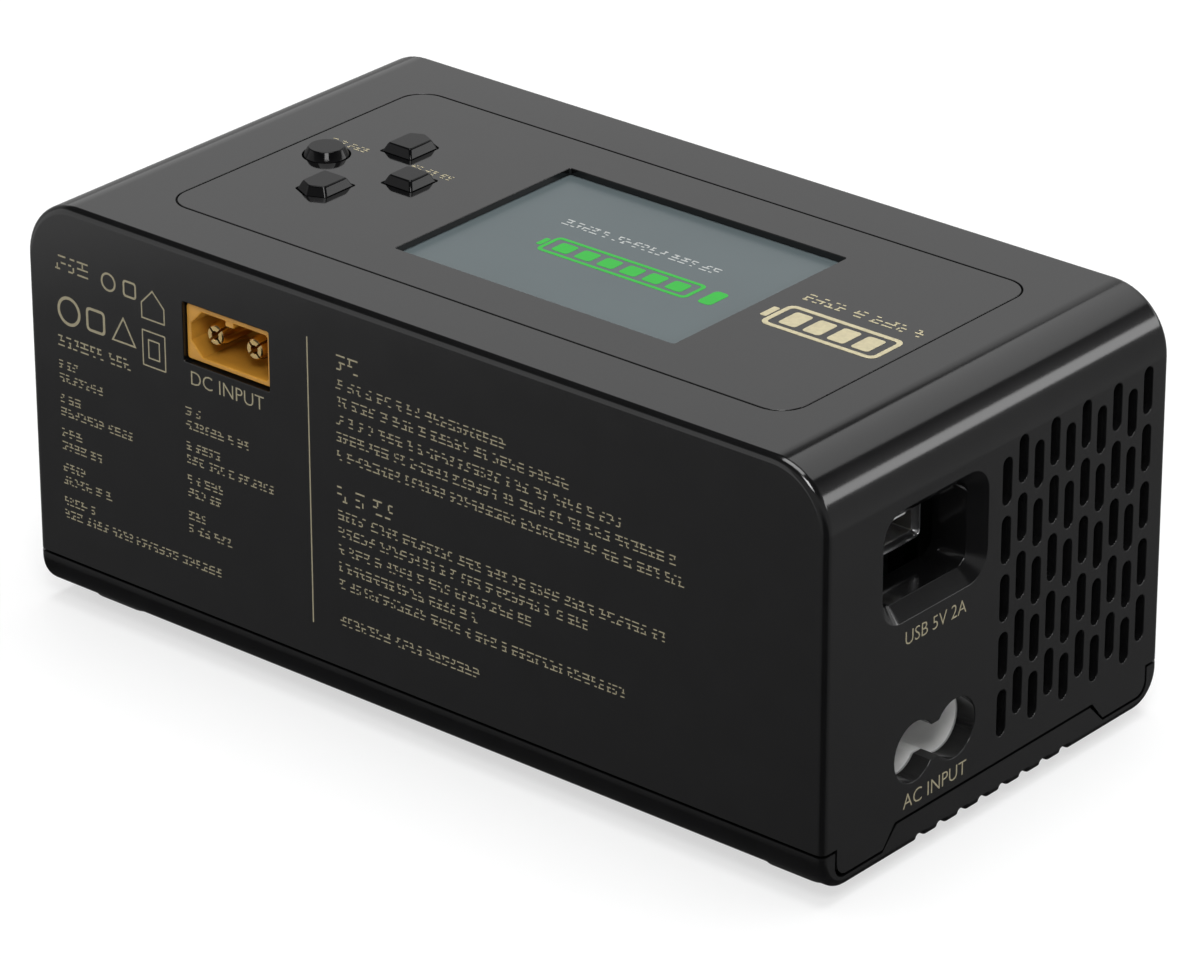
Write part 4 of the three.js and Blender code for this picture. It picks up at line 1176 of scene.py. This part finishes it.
def make_world():
    """Surroundings seen in the gloss: grey walls round the horizon, dark above, below and low at -X+Y."""
    world = bpy.data.worlds.new("studio")
    world.use_nodes = True
    nodes, links = world.node_tree.nodes, world.node_tree.links
    direction = nodes.new("ShaderNodeTexCoord")
    axes = nodes.new("ShaderNodeSeparateXYZ")
    links.new(direction.outputs["Generated"], axes.inputs["Vector"])
    height = nodes.new("ShaderNodeMapRange")
    height.inputs["From Min"].default_value = -1
    links.new(axes.outputs["Z"], height.inputs["Value"])
    ramp = nodes.new("ShaderNodeValToRGB")
    while len(ramp.color_ramp.elements) < len(WALL_GREYS):
        ramp.color_ramp.elements.new(0.5)
    for element, (sine, grey) in zip(ramp.color_ramp.elements, WALL_GREYS):
        element.position = (sine + 1) / 2
        element.color = (grey, grey, grey, 1)
    links.new(height.outputs["Result"], ramp.inputs["Fac"])
    links.new(ramp.outputs["Color"], nodes["Background"].inputs["Color"])
    corner = nodes.new("ShaderNodeVectorMath")
    corner.operation = "DOT_PRODUCT"
    corner.inputs[1].default_value = DARK_CORNER
    links.new(direction.outputs["Generated"], corner.inputs[0])
    shade = nodes.new("ShaderNodeMapRange")
    shade.inputs["From Min"].default_value = 0.72
    shade.inputs["From Max"].default_value = 0.90
    shade.inputs["To Min"].default_value = 1
    shade.inputs["To Max"].default_value = 0.05
    links.new(corner.outputs["Value"], shade.inputs["Value"])
    links.new(shade.outputs["Result"], nodes["Background"].inputs["Strength"])
    bpy.context.scene.world = world


def make_lights():
    area_light("overhead", (0, 0, 1), 1.8, 1.2, 1.2, 28)
    area_light("key", (-0.45, 0.5, 0.74), 1.4, 0.45, 0.45, 9)
    area_light("back_panel", (0.25, -0.75, 0.33), 1.3, 2.2, 0.6, 1.9)
    area_light("back_high", (-0.03, -0.68, 0.70), 1.3, 0.9, 0.36, 1.4)
    area_light("end_strip", (-0.66, -0.68, 0.31), 1.3, 1.0, 0.24, 3.0)
    area_light("left_wall", (0.70, 0.70, 0.06), 1.3, 1.4, 1.2, 3.0)


CAMERA_PLACE = Vector((-503.0, 591.3, 397.3))
CAMERA_AIM = Vector((1.77, 1.51, 35.0))
CAMERA_ROLL = 0.248
CAMERA_LENS = 189.1
CAMERA_SHIFT = (0.0243, -0.0466)


def make_camera():
    data = bpy.data.cameras.new("camera")
    data.sensor_width = 36
    data.lens = CAMERA_LENS
    data.shift_x, data.shift_y = CAMERA_SHIFT
    data.clip_start = 0.01
    data.clip_end = 50
    camera = bpy.data.objects.new("camera", data)
    bpy.context.scene.collection.objects.link(camera)
    camera.location = CAMERA_PLACE * MM
    turn = (CAMERA_AIM - CAMERA_PLACE).to_track_quat("-Z", "Y")
    camera.rotation_mode = "QUATERNION"
    camera.rotation_quaternion = turn @ Quaternion((0, 0, 1), math.radians(-CAMERA_ROLL))
    bpy.context.scene.camera = camera


# ---------------------------------------------------------------- build

make_camera()
make_cover()
make_tray()
make_feet()
make_screws()
make_panel()
make_glass()
make_keys()
make_dc_input()
for output in (1, 2):
    make_output(output)
for output in (1, 2):
    make_balance_header(output)
make_mains_inlet()
make_usb()
make_back_print()
make_back_symbols()
make_legends()
make_top_print()
make_display()
dress_inner_nodes()
make_stage()
make_world()
make_lights()

bpy.context.scene.view_settings.view_transform = "Standard"
